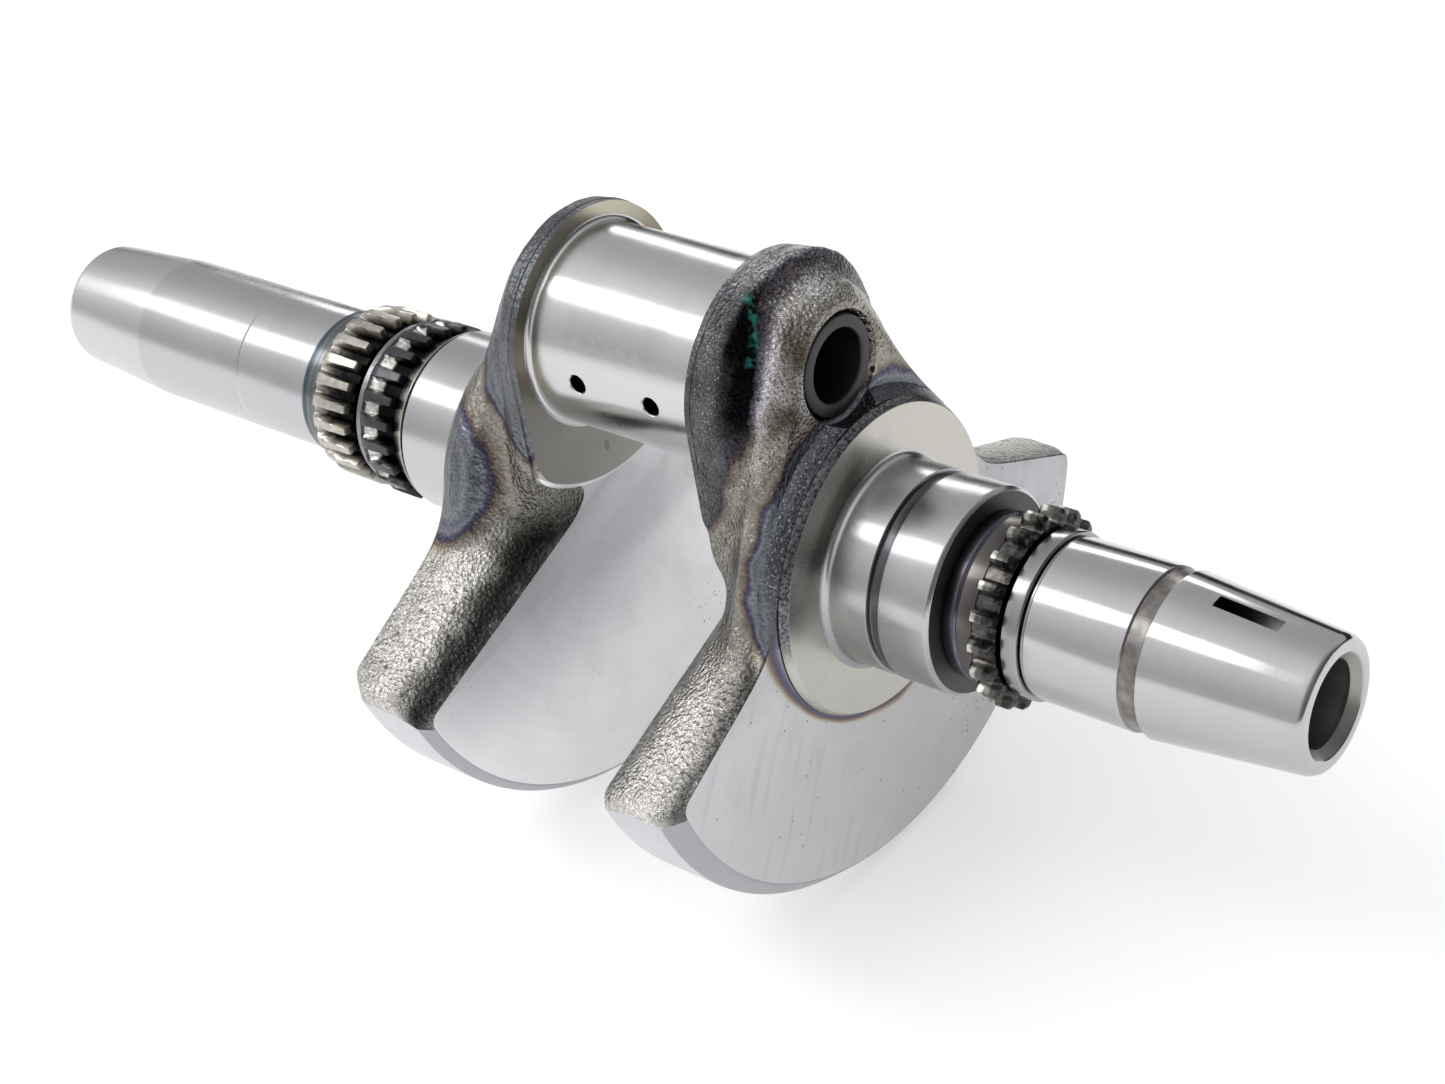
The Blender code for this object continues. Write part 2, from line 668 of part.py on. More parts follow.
def make_right_stack():
    """Step collar, toothed ring, spacer, locating collar and retaining ring."""
    start = journal_end
    end = start + STEP_COLLAR_WIDTH
    middle = (start + end) / 2
    radius = STEP_COLLAR_RADIUS
    profile = [
        (start + SEAT_GAP, stack_bore),
        (start + SEAT_GAP, radius),
        (middle - STEP_COLLAR_LINE, radius),
        (middle, radius - STEP_COLLAR_LINE),
        (middle + STEP_COLLAR_LINE, radius),
        (end, radius),
        (end, stack_bore),
    ]
    turned("right_step_collar", profile, TINTED)
    start, end = end, end + RIGHT_SPROCKET_WIDTH
    root = RIGHT_SPROCKET_ROOT
    tip = RIGHT_SPROCKET_TIP
    teeth = RIGHT_SPROCKET_TEETH
    loops = [
        toothed_loop(start + SEAT_GAP, root, tip - TOOTH_EDGE, teeth),
        toothed_loop(start + SEAT_GAP + TOOTH_EDGE, root, tip, teeth),
        toothed_loop(end - TOOTH_EDGE, root, tip, teeth),
        toothed_loop(end, root, tip - TOOTH_EDGE, teeth),
    ]
    sprocket("right_sprocket", loops, stack_bore, teeth, DARK_STEEL)
    rows = (
        ("right_spacer_ring", RIGHT_SPACER_WIDTH, RIGHT_SPACER_RADIUS, DARK_STEEL),
        ("right_locating_collar", LOCATING_COLLAR_WIDTH, LOCATING_COLLAR_RADIUS, GROUND),
        ("right_retaining_ring", RETAINING_RING_WIDTH, RETAINING_RING_RADIUS, GROUND),
    )
    for name, width, radius, look in rows:
        start, end = end, end + width
        edge = min(RING_EDGE, width / 4)
        ring(name, start + SEAT_GAP, end, radius, stack_bore, edge, look)


def stack_spigot(stack):
    """Profile points of an end shaft's spigot, from its inner end to the shaft's shoulder."""
    spigot_end = journal_end - STACK_SOCKET_DEPTH
    shoulder = journal_end + stack + SEAT_GAP
    return [
        (spigot_end, 0.0),
        (spigot_end, STACK_SPIGOT_RADIUS),
        (shoulder, STACK_SPIGOT_RADIUS),
    ]


def end_bore(end, radius):
    """Profile points of an end shaft's chamfered end face and its blind bore."""
    return [
        (end - END_EDGE, radius),
        (end, radius - END_EDGE / 2),
        (end, END_BORE_RADIUS + END_BORE_FLARE),
        (end - END_BORE_FLARE, END_BORE_RADIUS),
        (end - END_BORE_DEPTH, END_BORE_RADIUS),
        (end - END_BORE_DEPTH - END_BORE_RADIUS / 2, 0.0),
    ]


def make_left_stub():
    """The left end shaft: cylinder with a fine line, then a slim taper."""
    shoulder = journal_end + left_stack + SEAT_GAP
    line = journal_end + left_stack + LEFT_NECK_LENGTH
    cone = line + LEFT_SEAT_LENGTH
    radius = LEFT_SHAFT_RADIUS
    profile = stack_spigot(left_stack)
    profile += [
        (shoulder, radius - RING_EDGE),
        (shoulder + RING_EDGE, radius),
        (line - LEFT_LINE_WIDTH / 2, radius),
        (line, radius - LINE_DEPTH),
        (line + LEFT_LINE_WIDTH / 2, radius),
        (cone, radius),
    ]
    profile += end_bore(left_end, radius - LEFT_CONE_DROP)
    turned("left_stub_shaft", [(-station, distance) for station, distance in profile], GROUND)


def make_right_stub():
    """The right end shaft: cylinder, groove and a taper with a key slot on the crankpin's side."""
    shoulder = journal_end + right_stack + SEAT_GAP
    groove = journal_end + right_stack + RIGHT_SEAT_LENGTH
    cone = groove + RIGHT_GROOVE_WIDTH
    radius = RIGHT_SHAFT_RADIUS
    floor = radius - RIGHT_GROOVE_DEPTH
    cone_radius = radius + RIGHT_CONE_LIP
    profile = stack_spigot(right_stack)
    profile += [
        (shoulder, radius - RING_EDGE),
        (shoulder + RING_EDGE, radius),
        (groove, radius),
        (groove, floor),
        (cone, floor),
        (cone, cone_radius),
    ]
    profile += end_bore(right_end, cone_radius - RIGHT_CONE_DROP)
    shaft = turned("right_stub_shaft", profile, GROUND)
    taper = RIGHT_CONE_DROP / (RIGHT_CONE_LENGTH - END_EDGE)
    slot_middle = KEY_SLOT_START + KEY_SLOT_LENGTH / 2
    surface = cone_radius - taper * slot_middle
    work = bmesh.new()
    bmesh.ops.create_cube(work, size=1.0)
    size = (KEY_SLOT_LENGTH, KEY_SLOT_WIDTH, 2 * KEY_SLOT_DEPTH)
    bmesh.ops.scale(work, vec=size, verts=work.verts)
    slot = finish(work, "key_slot", DARK_STEEL, surface)
    slot.location.x += cone + slot_middle
    cut(shaft, slot)


def main():
    """Build every piece."""
    clear_scene()
    make_crankpin()
    make_plug()
    make_web("left", -1, left_lobes, left_pin_spigot, left_pin_spigot_end)
    right_web = make_web("right", 1, right_lobes, right_pin_spigot, right_pin_spigot_end)
    cut_plug_socket(right_web)
    make_pin_plate("left", -1, left_pin_spigot)
    make_pin_plate("right", 1, right_pin_spigot)
    make_thrust_ring("left", -1, LEFT_JOURNAL_RADIUS)
    make_thrust_ring("right", 1, RIGHT_JOURNAL_RADIUS)
    make_journal("left", -1, LEFT_JOURNAL_RADIUS, groove=False)
    make_journal("right", 1, RIGHT_JOURNAL_RADIUS, groove=True)
    make_left_stack()
    make_right_stack()
    make_left_stub()
    make_right_stub()


main()
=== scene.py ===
# %% [markdown]
# # A crankshaft for a small V-twin engine
# A crankshaft turns the push of the pistons into rotation. This one has a single crankpin for two
# rods, two forged webs with heavy counterweights, and shafts at both ends that carry toothed rings.
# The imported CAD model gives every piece's place and size. Here each piece is modelled again with finer
# edges, in the same frame, and gets the finish that the real steel has.

# %% Load the frame
import math

import bmesh
import bpy
from mathutils import Matrix, Vector


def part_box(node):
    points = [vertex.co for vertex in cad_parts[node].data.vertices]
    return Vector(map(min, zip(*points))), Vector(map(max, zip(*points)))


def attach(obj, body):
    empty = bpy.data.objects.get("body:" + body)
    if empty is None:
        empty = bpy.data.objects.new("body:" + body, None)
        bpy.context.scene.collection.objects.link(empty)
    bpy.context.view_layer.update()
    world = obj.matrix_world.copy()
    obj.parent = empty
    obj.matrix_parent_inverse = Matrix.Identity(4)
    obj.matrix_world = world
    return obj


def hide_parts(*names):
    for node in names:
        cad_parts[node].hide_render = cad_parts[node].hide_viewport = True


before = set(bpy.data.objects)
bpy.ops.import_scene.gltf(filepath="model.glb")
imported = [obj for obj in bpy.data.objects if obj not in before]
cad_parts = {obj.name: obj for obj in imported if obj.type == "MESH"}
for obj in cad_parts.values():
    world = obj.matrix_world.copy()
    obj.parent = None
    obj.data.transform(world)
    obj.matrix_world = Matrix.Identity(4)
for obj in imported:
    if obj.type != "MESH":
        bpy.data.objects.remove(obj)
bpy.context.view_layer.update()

# %% [markdown]
# Everything on a crankshaft is measured from two axes: the main axis, which the journals turn on, and
# the crankpin's axis beside it. Lengths are easiest to read as stations, in millimetres from the middle
# of the crankpin, with minus to the left. Both axes and the middle come from the frame itself, so the
# looks always sit on the part.

# %% Measure the axes and the middle
MM = 0.001
left_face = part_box("left_pin_thrust_plate")[1].x
right_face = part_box("right_pin_thrust_plate")[0].x
MIDDLE_X = (left_face + right_face) / 2
journal_low, journal_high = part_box("right_main_journal")
AXIS_Z = (journal_low.z + journal_high.z) / 2
pin_low, pin_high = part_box("crankpin")
PIN_Z = (pin_low.z + pin_high.z) / 2


def span(node):
    """First and last station of a CAD node, in millimetres from the crankpin's middle."""
    low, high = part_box(node)
    return (low.x - MIDDLE_X) / MM, (high.x - MIDDLE_X) / MM


print("middle", round(MIDDLE_X, 5), "axis", round(AXIS_Z, 5), "throw", round((PIN_Z - AXIS_Z) / MM, 2))

# %% [markdown]
# The camera stands to the right of the keyed end, a little over half a metre away, and looks down at
# about 35 degrees. It is also rolled by 10 degrees, which makes the shaft run down to the right across
# the picture. The three directions of the camera are worked out first and then written as a matrix.

# %% Set the camera
scene = bpy.context.scene
LOOK_ROUND = math.radians(44.41)
LOOK_DOWN = math.radians(34.52)
ROLL = math.radians(-10.19)
CAMERA_PLACE = Vector((349.75, -331.3, 380.2)) * MM
ahead = Vector((
    -math.sin(LOOK_ROUND) * math.cos(LOOK_DOWN),
    math.cos(LOOK_ROUND) * math.cos(LOOK_DOWN),
    -math.sin(LOOK_DOWN),
))
level = Vector((math.cos(LOOK_ROUND), math.sin(LOOK_ROUND), 0.0))
upright = level.cross(ahead)
right = math.cos(ROLL) * level + math.sin(ROLL) * upright
up = math.cos(ROLL) * upright - math.sin(ROLL) * level
bpy.ops.object.select_all(action="DESELECT")
bpy.ops.object.camera_add(location=CAMERA_PLACE)
camera = bpy.context.object
turned_axes = Matrix((right, up, -ahead)).transposed()
camera.matrix_world = Matrix.Translation(CAMERA_PLACE) @ turned_axes.to_4x4()
camera.data.sensor_fit = "HORIZONTAL"
camera.data.sensor_width = 36.0
camera.data.lens = 67.29
camera.data.clip_start = 0.01
scene.camera = camera
print("camera", [round(v, 3) for v in camera.location], "lens", camera.data.lens)

# %% [markdown]
# Bare steel shows little colour of its own. What it shows is the room, so the room is most of the
# look. The real one was a light tent: bright above the front, greyer towards the back, with one long
# soft lamp in front and a thin one behind that draw white streaks along the shafts. A shader on the
# world paints the tent by how far a direction is tilted about the shaft. The camera itself sees plain
# white past the edge of the floor, and a dark card behind gives the shafts a dark upper edge.

# %% Node helpers
def add(tree, kind, settings=(), wires=()):
    """Add a shader node, set its options, and plug numbers or other nodes' sockets into it."""
    node = tree.nodes.new("ShaderNode" + kind)
    for key, value in dict(settings).items():
        setattr(node, key, value)
    for key, value in dict(wires).items():
        if isinstance(value, bpy.types.NodeSocket):
            tree.links.new(value, node.inputs[key])
        else:
            node.inputs[key].default_value = value
    return node


def calc(tree, operation, first, second=0.0):
    """A Math node's result."""
    return add(tree, "Math", {"operation": operation}, {0: first, 1: second}).outputs[0]


def fade(tree, value, low, high, out_low=0.0, out_high=1.0):
    """Ease from one value to another while the input goes from low to high."""
    wires = {"Value": value, "From Min": low, "From Max": high, "To Min": out_low, "To Max": out_high}
    return add(tree, "MapRange", {"interpolation_type": "SMOOTHSTEP"}, wires).outputs[0]


def ramp(tree, value, stops):
    """Colours along a value, as (place, colour) pairs."""
    node = add(tree, "ValToRGB", (), {"Fac": value})
    stretch = node.color_ramp
    while len(stretch.elements) < len(stops):
        stretch.elements.new(1.0)
    for element, (place, colour) in zip(stretch.elements, stops):
        element.position = place
        element.color = (*colour, 1.0)
    return node.outputs["Color"]


def blend(tree, share, first, second, how="MIX"):
    """Mix two colours."""
    node = tree.nodes.new("ShaderNodeMix")
    node.data_type = "RGBA"
    node.blend_type = how
    node.clamp_factor = True
    for socket, value in ((node.inputs[0], share), (node.inputs[6], first), (node.inputs[7], second)):
        if isinstance(value, bpy.types.NodeSocket):
            tree.links.new(value, socket)
        elif isinstance(value, tuple):
            socket.default_value = (*value, 1.0)
        else:
            socket.default_value = value
    return node.outputs[2]


print("node helpers ready")

# %% Paint the light tent on the world
world = bpy.data.worlds.new("light_tent")
scene.world = world
world.use_nodes = True
tent = world.node_tree
tent.nodes.clear()
direction = add(tent, "SeparateXYZ", (), {0: add(tent, "TexCoord").outputs["Generated"]})
front = calc(tent, "MULTIPLY", direction.outputs["Y"], -1.0)
tilt = calc(tent, "DIVIDE", calc(tent, "ARCTAN2", direction.outputs["Z"], front), math.pi)
TENT = (
    (0.00, 0.62), (0.08, 0.60), (0.17, 0.74), (0.26, 0.90), (0.42, 0.98),
    (0.52, 0.82), (0.61, 0.62), (0.70, 0.54), (0.82, 0.50), (1.00, 0.50),
)
tent_colour = ramp(tent, tilt, [(place, (grey, grey, grey * 1.01)) for place, grey in TENT])
open_side = fade(tent, direction.outputs["X"], 0.30, 0.72, 1.0, 0.22)
seen = add(tent, "LightPath").outputs["Is Camera Ray"]
tent_colour = blend(tent, seen, tent_colour, (1.0, 1.0, 1.0))
strength = calc(tent, "MAXIMUM", open_side, seen)
tent_light = add(tent, "Background", (), {"Color": tent_colour, "Strength": strength})
add(tent, "OutputWorld", (), {"Surface": tent_light.outputs[0]})
scene.view_settings.view_transform = "Standard"
print("tent from", min(grey for _, grey in TENT), "to", max(grey for _, grey in TENT))

# %% Hang the two soft lamps
def soft_lamp(name, place, aim, size, power):
    """A rectangular lamp whose long side runs along the shaft."""
    bpy.ops.object.select_all(action="DESELECT")
    bpy.ops.object.light_add(type="AREA", location=place)
    lamp = bpy.context.object
    lamp.name = name
    lamp.data.shape = "RECTANGLE"
    lamp.data.size, lamp.data.size_y = size
    lamp.data.energy = power
    back = (Vector(place) - Vector(aim)).normalized()
    across = (Vector((1.0, 0.0, 0.0)) - back * back.x).normalized()
    turned_lamp = Matrix((across, back.cross(across), back)).transposed()
    lamp.matrix_world = Matrix.Translation(place) @ turned_lamp.to_4x4()
    print(name, "power", power, "W, radiance", round(power / (math.pi * size[0] * size[1]), 2))


soft_lamp("front_lamp", (-0.60, -0.47, 0.98), (0.0, 0.0, 0.08), (1.0, 0.33), 3.1)
soft_lamp("back_lamp", (-0.58, 0.93, 0.45), (0.0, 0.0, 0.08), (0.62, 0.16), 1.1)

# %% Lay the floor
bpy.ops.object.select_all(action="DESELECT")
bpy.ops.mesh.primitive_plane_add(size=8.0, location=(0.0, 0.0, 0.0))
floor = bpy.context.object
floor.name = "floor"
paper = bpy.data.materials.new("white_paper")
paper.use_nodes = True
paper_tree = paper.node_tree
paper_tree.nodes.clear()
rays = add(paper_tree, "LightPath").outputs
seen = calc(paper_tree, "MAXIMUM", rays["Is Camera Ray"], rays["Is Transmission Ray"])
seen = calc(paper_tree, "MAXIMUM", seen, calc(paper_tree, "MULTIPLY", rays["Is Glossy Ray"], 0.9))
paper_face = add(paper_tree, "BsdfDiffuse", (), {"Color": (0.86, 0.86, 0.86, 1.0)})
paper_glow = add(paper_tree, "Emission", (), {"Strength": calc(paper_tree, "MULTIPLY", seen, 0.46)})
paper_both = add(paper_tree, "AddShader", (), {0: paper_face.outputs[0], 1: paper_glow.outputs[0]})
add(paper_tree, "OutputMaterial", (), {"Surface": paper_both.outputs[0]})
floor.data.materials.append(paper)
print("floor", floor.dimensions[:])

# %% Stand a dark card behind
bpy.ops.object.select_all(action="DESELECT")
bpy.ops.mesh.primitive_plane_add(size=1.0, location=(-0.35, 0.55, 0.075), rotation=(math.pi / 2, 0.0, 0.0))
card = bpy.context.object
card.name = "dark_card"
card.scale = (2.2, 0.15, 1.0)
black = bpy.data.materials.new("black_card")
black.use_nodes = True
black.node_tree.nodes["Principled BSDF"].inputs["Base Color"].default_value = (0.012, 0.012, 0.014, 1.0)
black.node_tree.nodes["Principled BSDF"].inputs["Roughness"].default_value = 0.9
card.data.materials.append(black)
for ray in ("camera", "diffuse", "transmission", "shadow", "volume_scatter"):
    setattr(card, "visible_" + ray, False)
print("dark card at", [round(v, 3) for v in card.location])

# %% [markdown]
# Almost every finish here depends on where a point lies on the shaft: how far along, how far out and
# at which turn. So each material starts from its object coordinates, shifted to one of the two axes and
# read in millimetres. The tangent that goes with them tells the shader which way the tool marks run:
# grinding leaves fine rings, and those smear a reflection along the shaft but not around it.

# %% Where a point lies on the shaft, as nodes
def around(tree, height):
    """Sockets for the place along, across and out from an axis, the turn about it, and the tangent."""
    place = add(tree, "TexCoord").outputs["Object"]
    moved = add(tree, "VectorMath", {"operation": "SUBTRACT"}, {0: place, 1: (MIDDLE_X, 0.0, height)})
    scaled = add(tree, "VectorMath", {"operation": "SCALE"}, {0: moved.outputs[0], "Scale": 1 / MM})
    x, y, z = add(tree, "SeparateXYZ", (), {0: scaled.outputs[0]}).outputs
    spoke = add(tree, "CombineXYZ", (), {1: y, 2: z}).outputs[0]
    out = add(tree, "VectorMath", {"operation": "LENGTH"}, {0: spoke}).outputs["Value"]
    unit = add(tree, "VectorMath", {"operation": "NORMALIZE"}, {0: spoke}).outputs[0]
    tangent = add(tree, "VectorMath", {"operation": "ADD"}, {0: unit, 1: (1.0, 0.0, 0.0)}).outputs[0]
    turn = calc(tree, "ARCTAN2", z, y)
    return {
        "place": scaled.outputs[0], "x": x, "y": y, "z": z,
        "out": out, "turn": turn, "tangent": tangent,
    }


def within(tree, value, low, high, soft=0.05):
    """1 while a value lies between two limits, with soft ends."""
    rise = fade(tree, value, low - soft, low + soft)
    fall = fade(tree, value, high - soft, high + soft, 1.0, 0.0)
    return calc(tree, "MULTIPLY", rise, fall)


print("stations run from", round(span("left_stub_shaft")[0], 1), "to", round(span("right_stub_shaft")[1], 1))

# %% Effects that several finishes share
def effect(name, inputs, outputs):
    """An empty shader group with its input and output sockets."""
    group = bpy.data.node_groups.new(name, "ShaderNodeTree")
    for label, kind in inputs.items():
        group.interface.new_socket(label, in_out="INPUT", socket_type="NodeSocket" + kind)
    for label, kind in outputs.items():
        group.interface.new_socket(label, in_out="OUTPUT", socket_type="NodeSocket" + kind)
    entry = group.nodes.new("NodeGroupInput").outputs
    leave = group.nodes.new("NodeGroupOutput").inputs
    return group, entry, leave


def use(tree, group, wires):
    """Put a group into a material and give its outputs."""
    return add(tree, "Group", {"node_tree": group}, wires).outputs


tool_lines, entry, leave = effect(
    "tool_lines", {"Along": "Float", "Out": "Float", "Pitch": "Float"}, {"Shade": "Float"},
)
spot = add(tool_lines, "CombineXYZ", (), {
    0: calc(tool_lines, "DIVIDE", entry["Along"], entry["Pitch"]),
    1: calc(tool_lines, "DIVIDE", entry["Out"], entry["Pitch"]),
}).outputs[0]
noise = add(tool_lines, "TexNoise", {"noise_dimensions": "2D"}, {"Vector": spot, "Scale": 1.0, "Detail": 3.0})
tool_lines.links.new(fade(tool_lines, noise.outputs["Fac"], 0.28, 0.72), leave["Shade"])

clouds, entry, leave = effect("clouds", {"Place": "Vector", "Size": "Float"}, {"Shade": "Float"})
pitch = calc(clouds, "DIVIDE", 1.0, entry["Size"])
noise = add(
    clouds, "TexNoise", (), {"Vector": entry["Place"], "Scale": pitch, "Detail": 4.0, "Roughness": 0.55},
)
clouds.links.new(fade(clouds, noise.outputs["Fac"], 0.3, 0.7), leave["Shade"])

specks, entry, leave = effect(
    "specks", {"Place": "Vector", "Size": "Float", "Share": "Float"}, {"Mask": "Float"},
)
cells = add(
    specks, "TexVoronoi", (),
    {"Vector": entry["Place"], "Scale": calc(specks, "DIVIDE", 1.0, entry["Size"])},
)
chance = add(specks, "SeparateColor", (), {0: cells.outputs["Color"]}).outputs[0]
rare = calc(specks, "LESS_THAN", chance, entry["Share"])
dot = fade(specks, cells.outputs["Distance"], 0.16, 0.34, 1.0, 0.0)
specks.links.new(calc(specks, "MULTIPLY", rare, dot), leave["Mask"])

skin, entry, leave = effect("forged_skin", {"Place": "Vector"}, {"Shade": "Float", "Height": "Float"})
cells = add(
    skin, "TexVoronoi", {"feature": "SMOOTH_F1"},
    {"Vector": entry["Place"], "Scale": 1.05, "Smoothness": 0.3},
)
fine = add(skin, "TexNoise", (), {"Vector": entry["Place"], "Scale": 1.5, "Detail": 2.0, "Roughness": 0.55})
rough_skin = calc(skin, "ADD", calc(skin, "MULTIPLY", cells.outputs["Distance"], 0.7), fine.outputs["Fac"])
skin.links.new(fade(skin, fine.outputs["Fac"], 0.30, 0.70), leave["Shade"])
skin.links.new(rough_skin, leave["Height"])

temper, entry, leave = effect("temper", {"Past": "Float"}, {"Color": "Color", "Share": "Float"})
TEMPER = (
    (0.00, (0.155, 0.162, 0.174)), (0.28, (0.16, 0.17, 0.19)), (0.44, (0.23, 0.24, 0.26)),
    (0.57, (0.155, 0.17, 0.20)),
    (0.67, (0.24, 0.25, 0.27)), (0.735, (0.085, 0.09, 0.15)), (0.775, (0.095, 0.07, 0.10)),
    (0.82, (0.19, 0.15, 0.125)),
    (0.90, (0.33, 0.305, 0.26)), (1.00, (0.38, 0.36, 0.325)),
)
place = fade(temper, entry["Past"], -14.0, 4.0)
temper.links.new(ramp(temper, place, TEMPER), leave["Color"])
temper.links.new(fade(temper, entry["Past"], 0.0, 4.5, 1.0, 0.0), leave["Share"])
print("effects:", [group.name for group in bpy.data.node_groups])

# %% A turned or ground steel
def metal(name, height, colour, rough, spread=0.6, pitch=0.14, uneven=0.04, paint=None):
    """Bare steel with tool rings about an axis. paint(tree, here, colour, rough) adds what is local."""
    material = bpy.data.materials.new(name)
    material.use_nodes = True
    tree = material.node_tree
    shader = tree.nodes["Principled BSDF"]
    shader.inputs["Metallic"].default_value = 1.0
    shader.inputs["Anisotropic"].default_value = spread
    here = around(tree, height)
    lines = use(tree, tool_lines, {"Along": here["x"], "Out": here["out"], "Pitch": pitch})["Shade"]
    smears = use(tree, clouds, {"Place": here["place"], "Size": 9.0})["Shade"]
    low = tuple(value * (1 - uneven) for value in colour)
    high = tuple(min(1.0, value * (1 + uneven * 0.7)) for value in colour)
    shade = calc(tree, "ADD", calc(tree, "MULTIPLY", lines, 0.5), calc(tree, "MULTIPLY", smears, 0.5))
    colour_out = blend(tree, shade, low, high)
    rough_out = fade(tree, smears, 0.0, 1.0, rough * 0.88, rough * 1.15)
    if paint:
        colour_out, rough_out = paint(tree, here, colour_out, rough_out)
    tree.links.new(colour_out, shader.inputs["Base Color"])
    tree.links.new(rough_out, shader.inputs["Roughness"])
    tree.links.new(here["tangent"], shader.inputs["Tangent"])
    bump = add(tree, "Bump", (), {"Height": lines, "Strength": 0.10, "Distance": 0.00002})
    tree.links.new(bump.outputs["Normal"], shader.inputs["Normal"])
    return material


def coat(tree, share, colour, rough, new_colour, new_rough):
    """Lay a colour and a roughness over what is there, where a mask says so."""
    mixed = add(tree, "Mix", (), {0: share, 2: rough, 3: new_rough}).outputs[0]
    return blend(tree, share, colour, new_colour), mixed


STEEL = (0.55, 0.55, 0.56)
ground = metal("ground_steel", AXIS_Z, STEEL, 0.21)
print("made", ground.name)

# %% [markdown]
# A few places on the ground pieces are not bright. The oil groove and the shallow groove before the
# right taper were turned but never ground, so they stay dark. Bores, oil holes and the key slot hardly
# get any light, so they get painted shade, and the far end of the key slot a painted reflection. The end
# face of the grooved journal gets painted shade too. The lower sides of the right shaft and the grooved
# journal get painted shade, and the lower side of the crankpin painted light. The crankpin has a faint
# yellow film where a rod ran. Each of these is a mask made from the place on the shaft, and the mask
# lays another colour and roughness over the steel.

# %% Local finishes of the ground pieces
def paint_right_shaft(tree, here, colour, rough):
    # Painted shade: the lower side of the shaft is multiplied darker.
    colour = blend(tree, fade(tree, here["z"], -6.0, 6.0, 1.0, 0.0), colour, (0.88, 0.88, 0.885), "MULTIPLY")
    groove = within(tree, here["x"], 108.2, 111.95, 0.08)
    film = use(tree, clouds, {"Place": here["place"], "Size": 2.5})["Shade"]
    brown = blend(tree, film, (0.17, 0.155, 0.145), (0.32, 0.30, 0.285))
    colour, rough = coat(tree, groove, colour, rough, brown, 0.36)
    # Painted shade in the end bore: grey near its mouth and near black further in.
    bore = calc(
        tree, "MULTIPLY", fade(tree, here["out"], 9.9, 10.2, 1.0, 0.0),
        calc(tree, "GREATER_THAN", here["x"], 90.0),
    )
    colour, rough = coat(tree, bore, colour, rough, (0.36, 0.35, 0.33), 0.42)
    deep_bore_shade = calc(tree, "MULTIPLY", bore, fade(tree, here["x"], 127.0, 139.0, 1.0, 0.0))
    colour, rough = coat(tree, deep_bore_shade, colour, rough, (0.030, 0.028, 0.026), 0.5)
    surface = calc(tree, "SUBTRACT", 16.3 + 112.0 * 3.0 / 30.6, calc(tree, "MULTIPLY", here["x"], 3.0 / 30.6))
    sunk = fade(tree, calc(tree, "SUBTRACT", surface, here["out"]), 0.06, 0.16)
    slot = calc(tree, "MULTIPLY", sunk, within(tree, here["x"], 119.8, 133.6))
    slot = calc(tree, "MULTIPLY", slot, calc(tree, "GREATER_THAN", here["out"], 10.5))
    # Painted shade and light in the key slot: black at its inner end, turning to a pale painted reflection at
    # its outer end.
    slot_shade_and_light = ramp(tree, fade(tree, here["x"], 120.5, 132.8), (
        (0.0, (0.018, 0.018, 0.018)), (0.45, (0.09, 0.09, 0.09)), (0.7, (0.20, 0.20, 0.20)),
        (1.0, (0.55, 0.55, 0.55)),
    ))
    return coat(tree, slot, colour, rough, slot_shade_and_light, 0.42)


def paint_pin(tree, here, colour, rough):
    turn = fade(tree, here["turn"], math.radians(132.0), math.radians(142.0))
    ripple = use(tree, clouds, {"Place": here["place"], "Size": 3.2})["Shade"]
    edge = calc(tree, "ADD", here["turn"], calc(tree, "MULTIPLY", ripple, math.radians(7.0)))
    film = calc(tree, "MULTIPLY", turn, fade(tree, edge, math.radians(157.0), math.radians(157.8), 1.0, 0.0))
    film = calc(tree, "MULTIPLY", film, within(tree, here["x"], -13.0, 11.0, 3.0))
    film = calc(tree, "MULTIPLY", film, 0.34)
    colour, rough = coat(tree, film, colour, rough, (0.50, 0.485, 0.42), 0.24)
    # Painted light: the lower side of the pin is laid over with a pale colour and more roughness, against a
    # dark reflection there.
    low = fade(tree, here["z"], -16.0, -5.0, 0.8, 0.0)
    colour, rough = coat(tree, low, colour, rough, (0.95, 0.95, 0.955), 0.58)
    # Painted shade: inside the oil holes and the bore the colour is near black.
    inside = fade(tree, here["out"], 20.55, 20.72, 1.0, 0.0)
    inside = calc(tree, "MULTIPLY", inside, within(tree, here["x"], -18.0, 18.0))
    return coat(tree, inside, colour, rough, (0.02, 0.02, 0.022), 0.5)


def paint_groove(tree, here, colour, rough):
    # Painted shade: the lower side of the journal is multiplied darker.
    colour = blend(tree, fade(tree, here["z"], -5.0, 8.0, 1.0, 0.0), colour, (0.68, 0.68, 0.68), "MULTIPLY")
    sunk = calc(
        tree, "MULTIPLY", fade(tree, here["out"], 20.3, 20.8, 1.0, 0.0),
        within(tree, here["x"], 55.0, 59.6),
    )
    colour, rough = coat(tree, sunk, colour, rough, (0.13, 0.13, 0.14), 0.30)
    # Painted shade: the journal's end face, a step in shadow, is painted dark.
    end = calc(
        tree, "MULTIPLY", fade(tree, here["out"], 20.15, 20.3, 1.0, 0.0),
        calc(tree, "GREATER_THAN", here["x"], 69.6),
    )
    return coat(tree, end, colour, rough, (0.085, 0.085, 0.09), 0.42)


def paint_left_shaft(tree, here, colour, rough):
    cone = fade(tree, here["x"], -161.9, -161.3, 1.0, 0.0)
    colour, rough = coat(tree, calc(tree, "MULTIPLY", cone, 0.5), colour, rough, (0.69, 0.69, 0.70), 0.27)
    line = within(tree, here["x"], -127.05, -126.35, 0.05)
    return coat(tree, calc(tree, "MULTIPLY", line, 0.7), colour, rough, (0.72, 0.72, 0.73), 0.34)


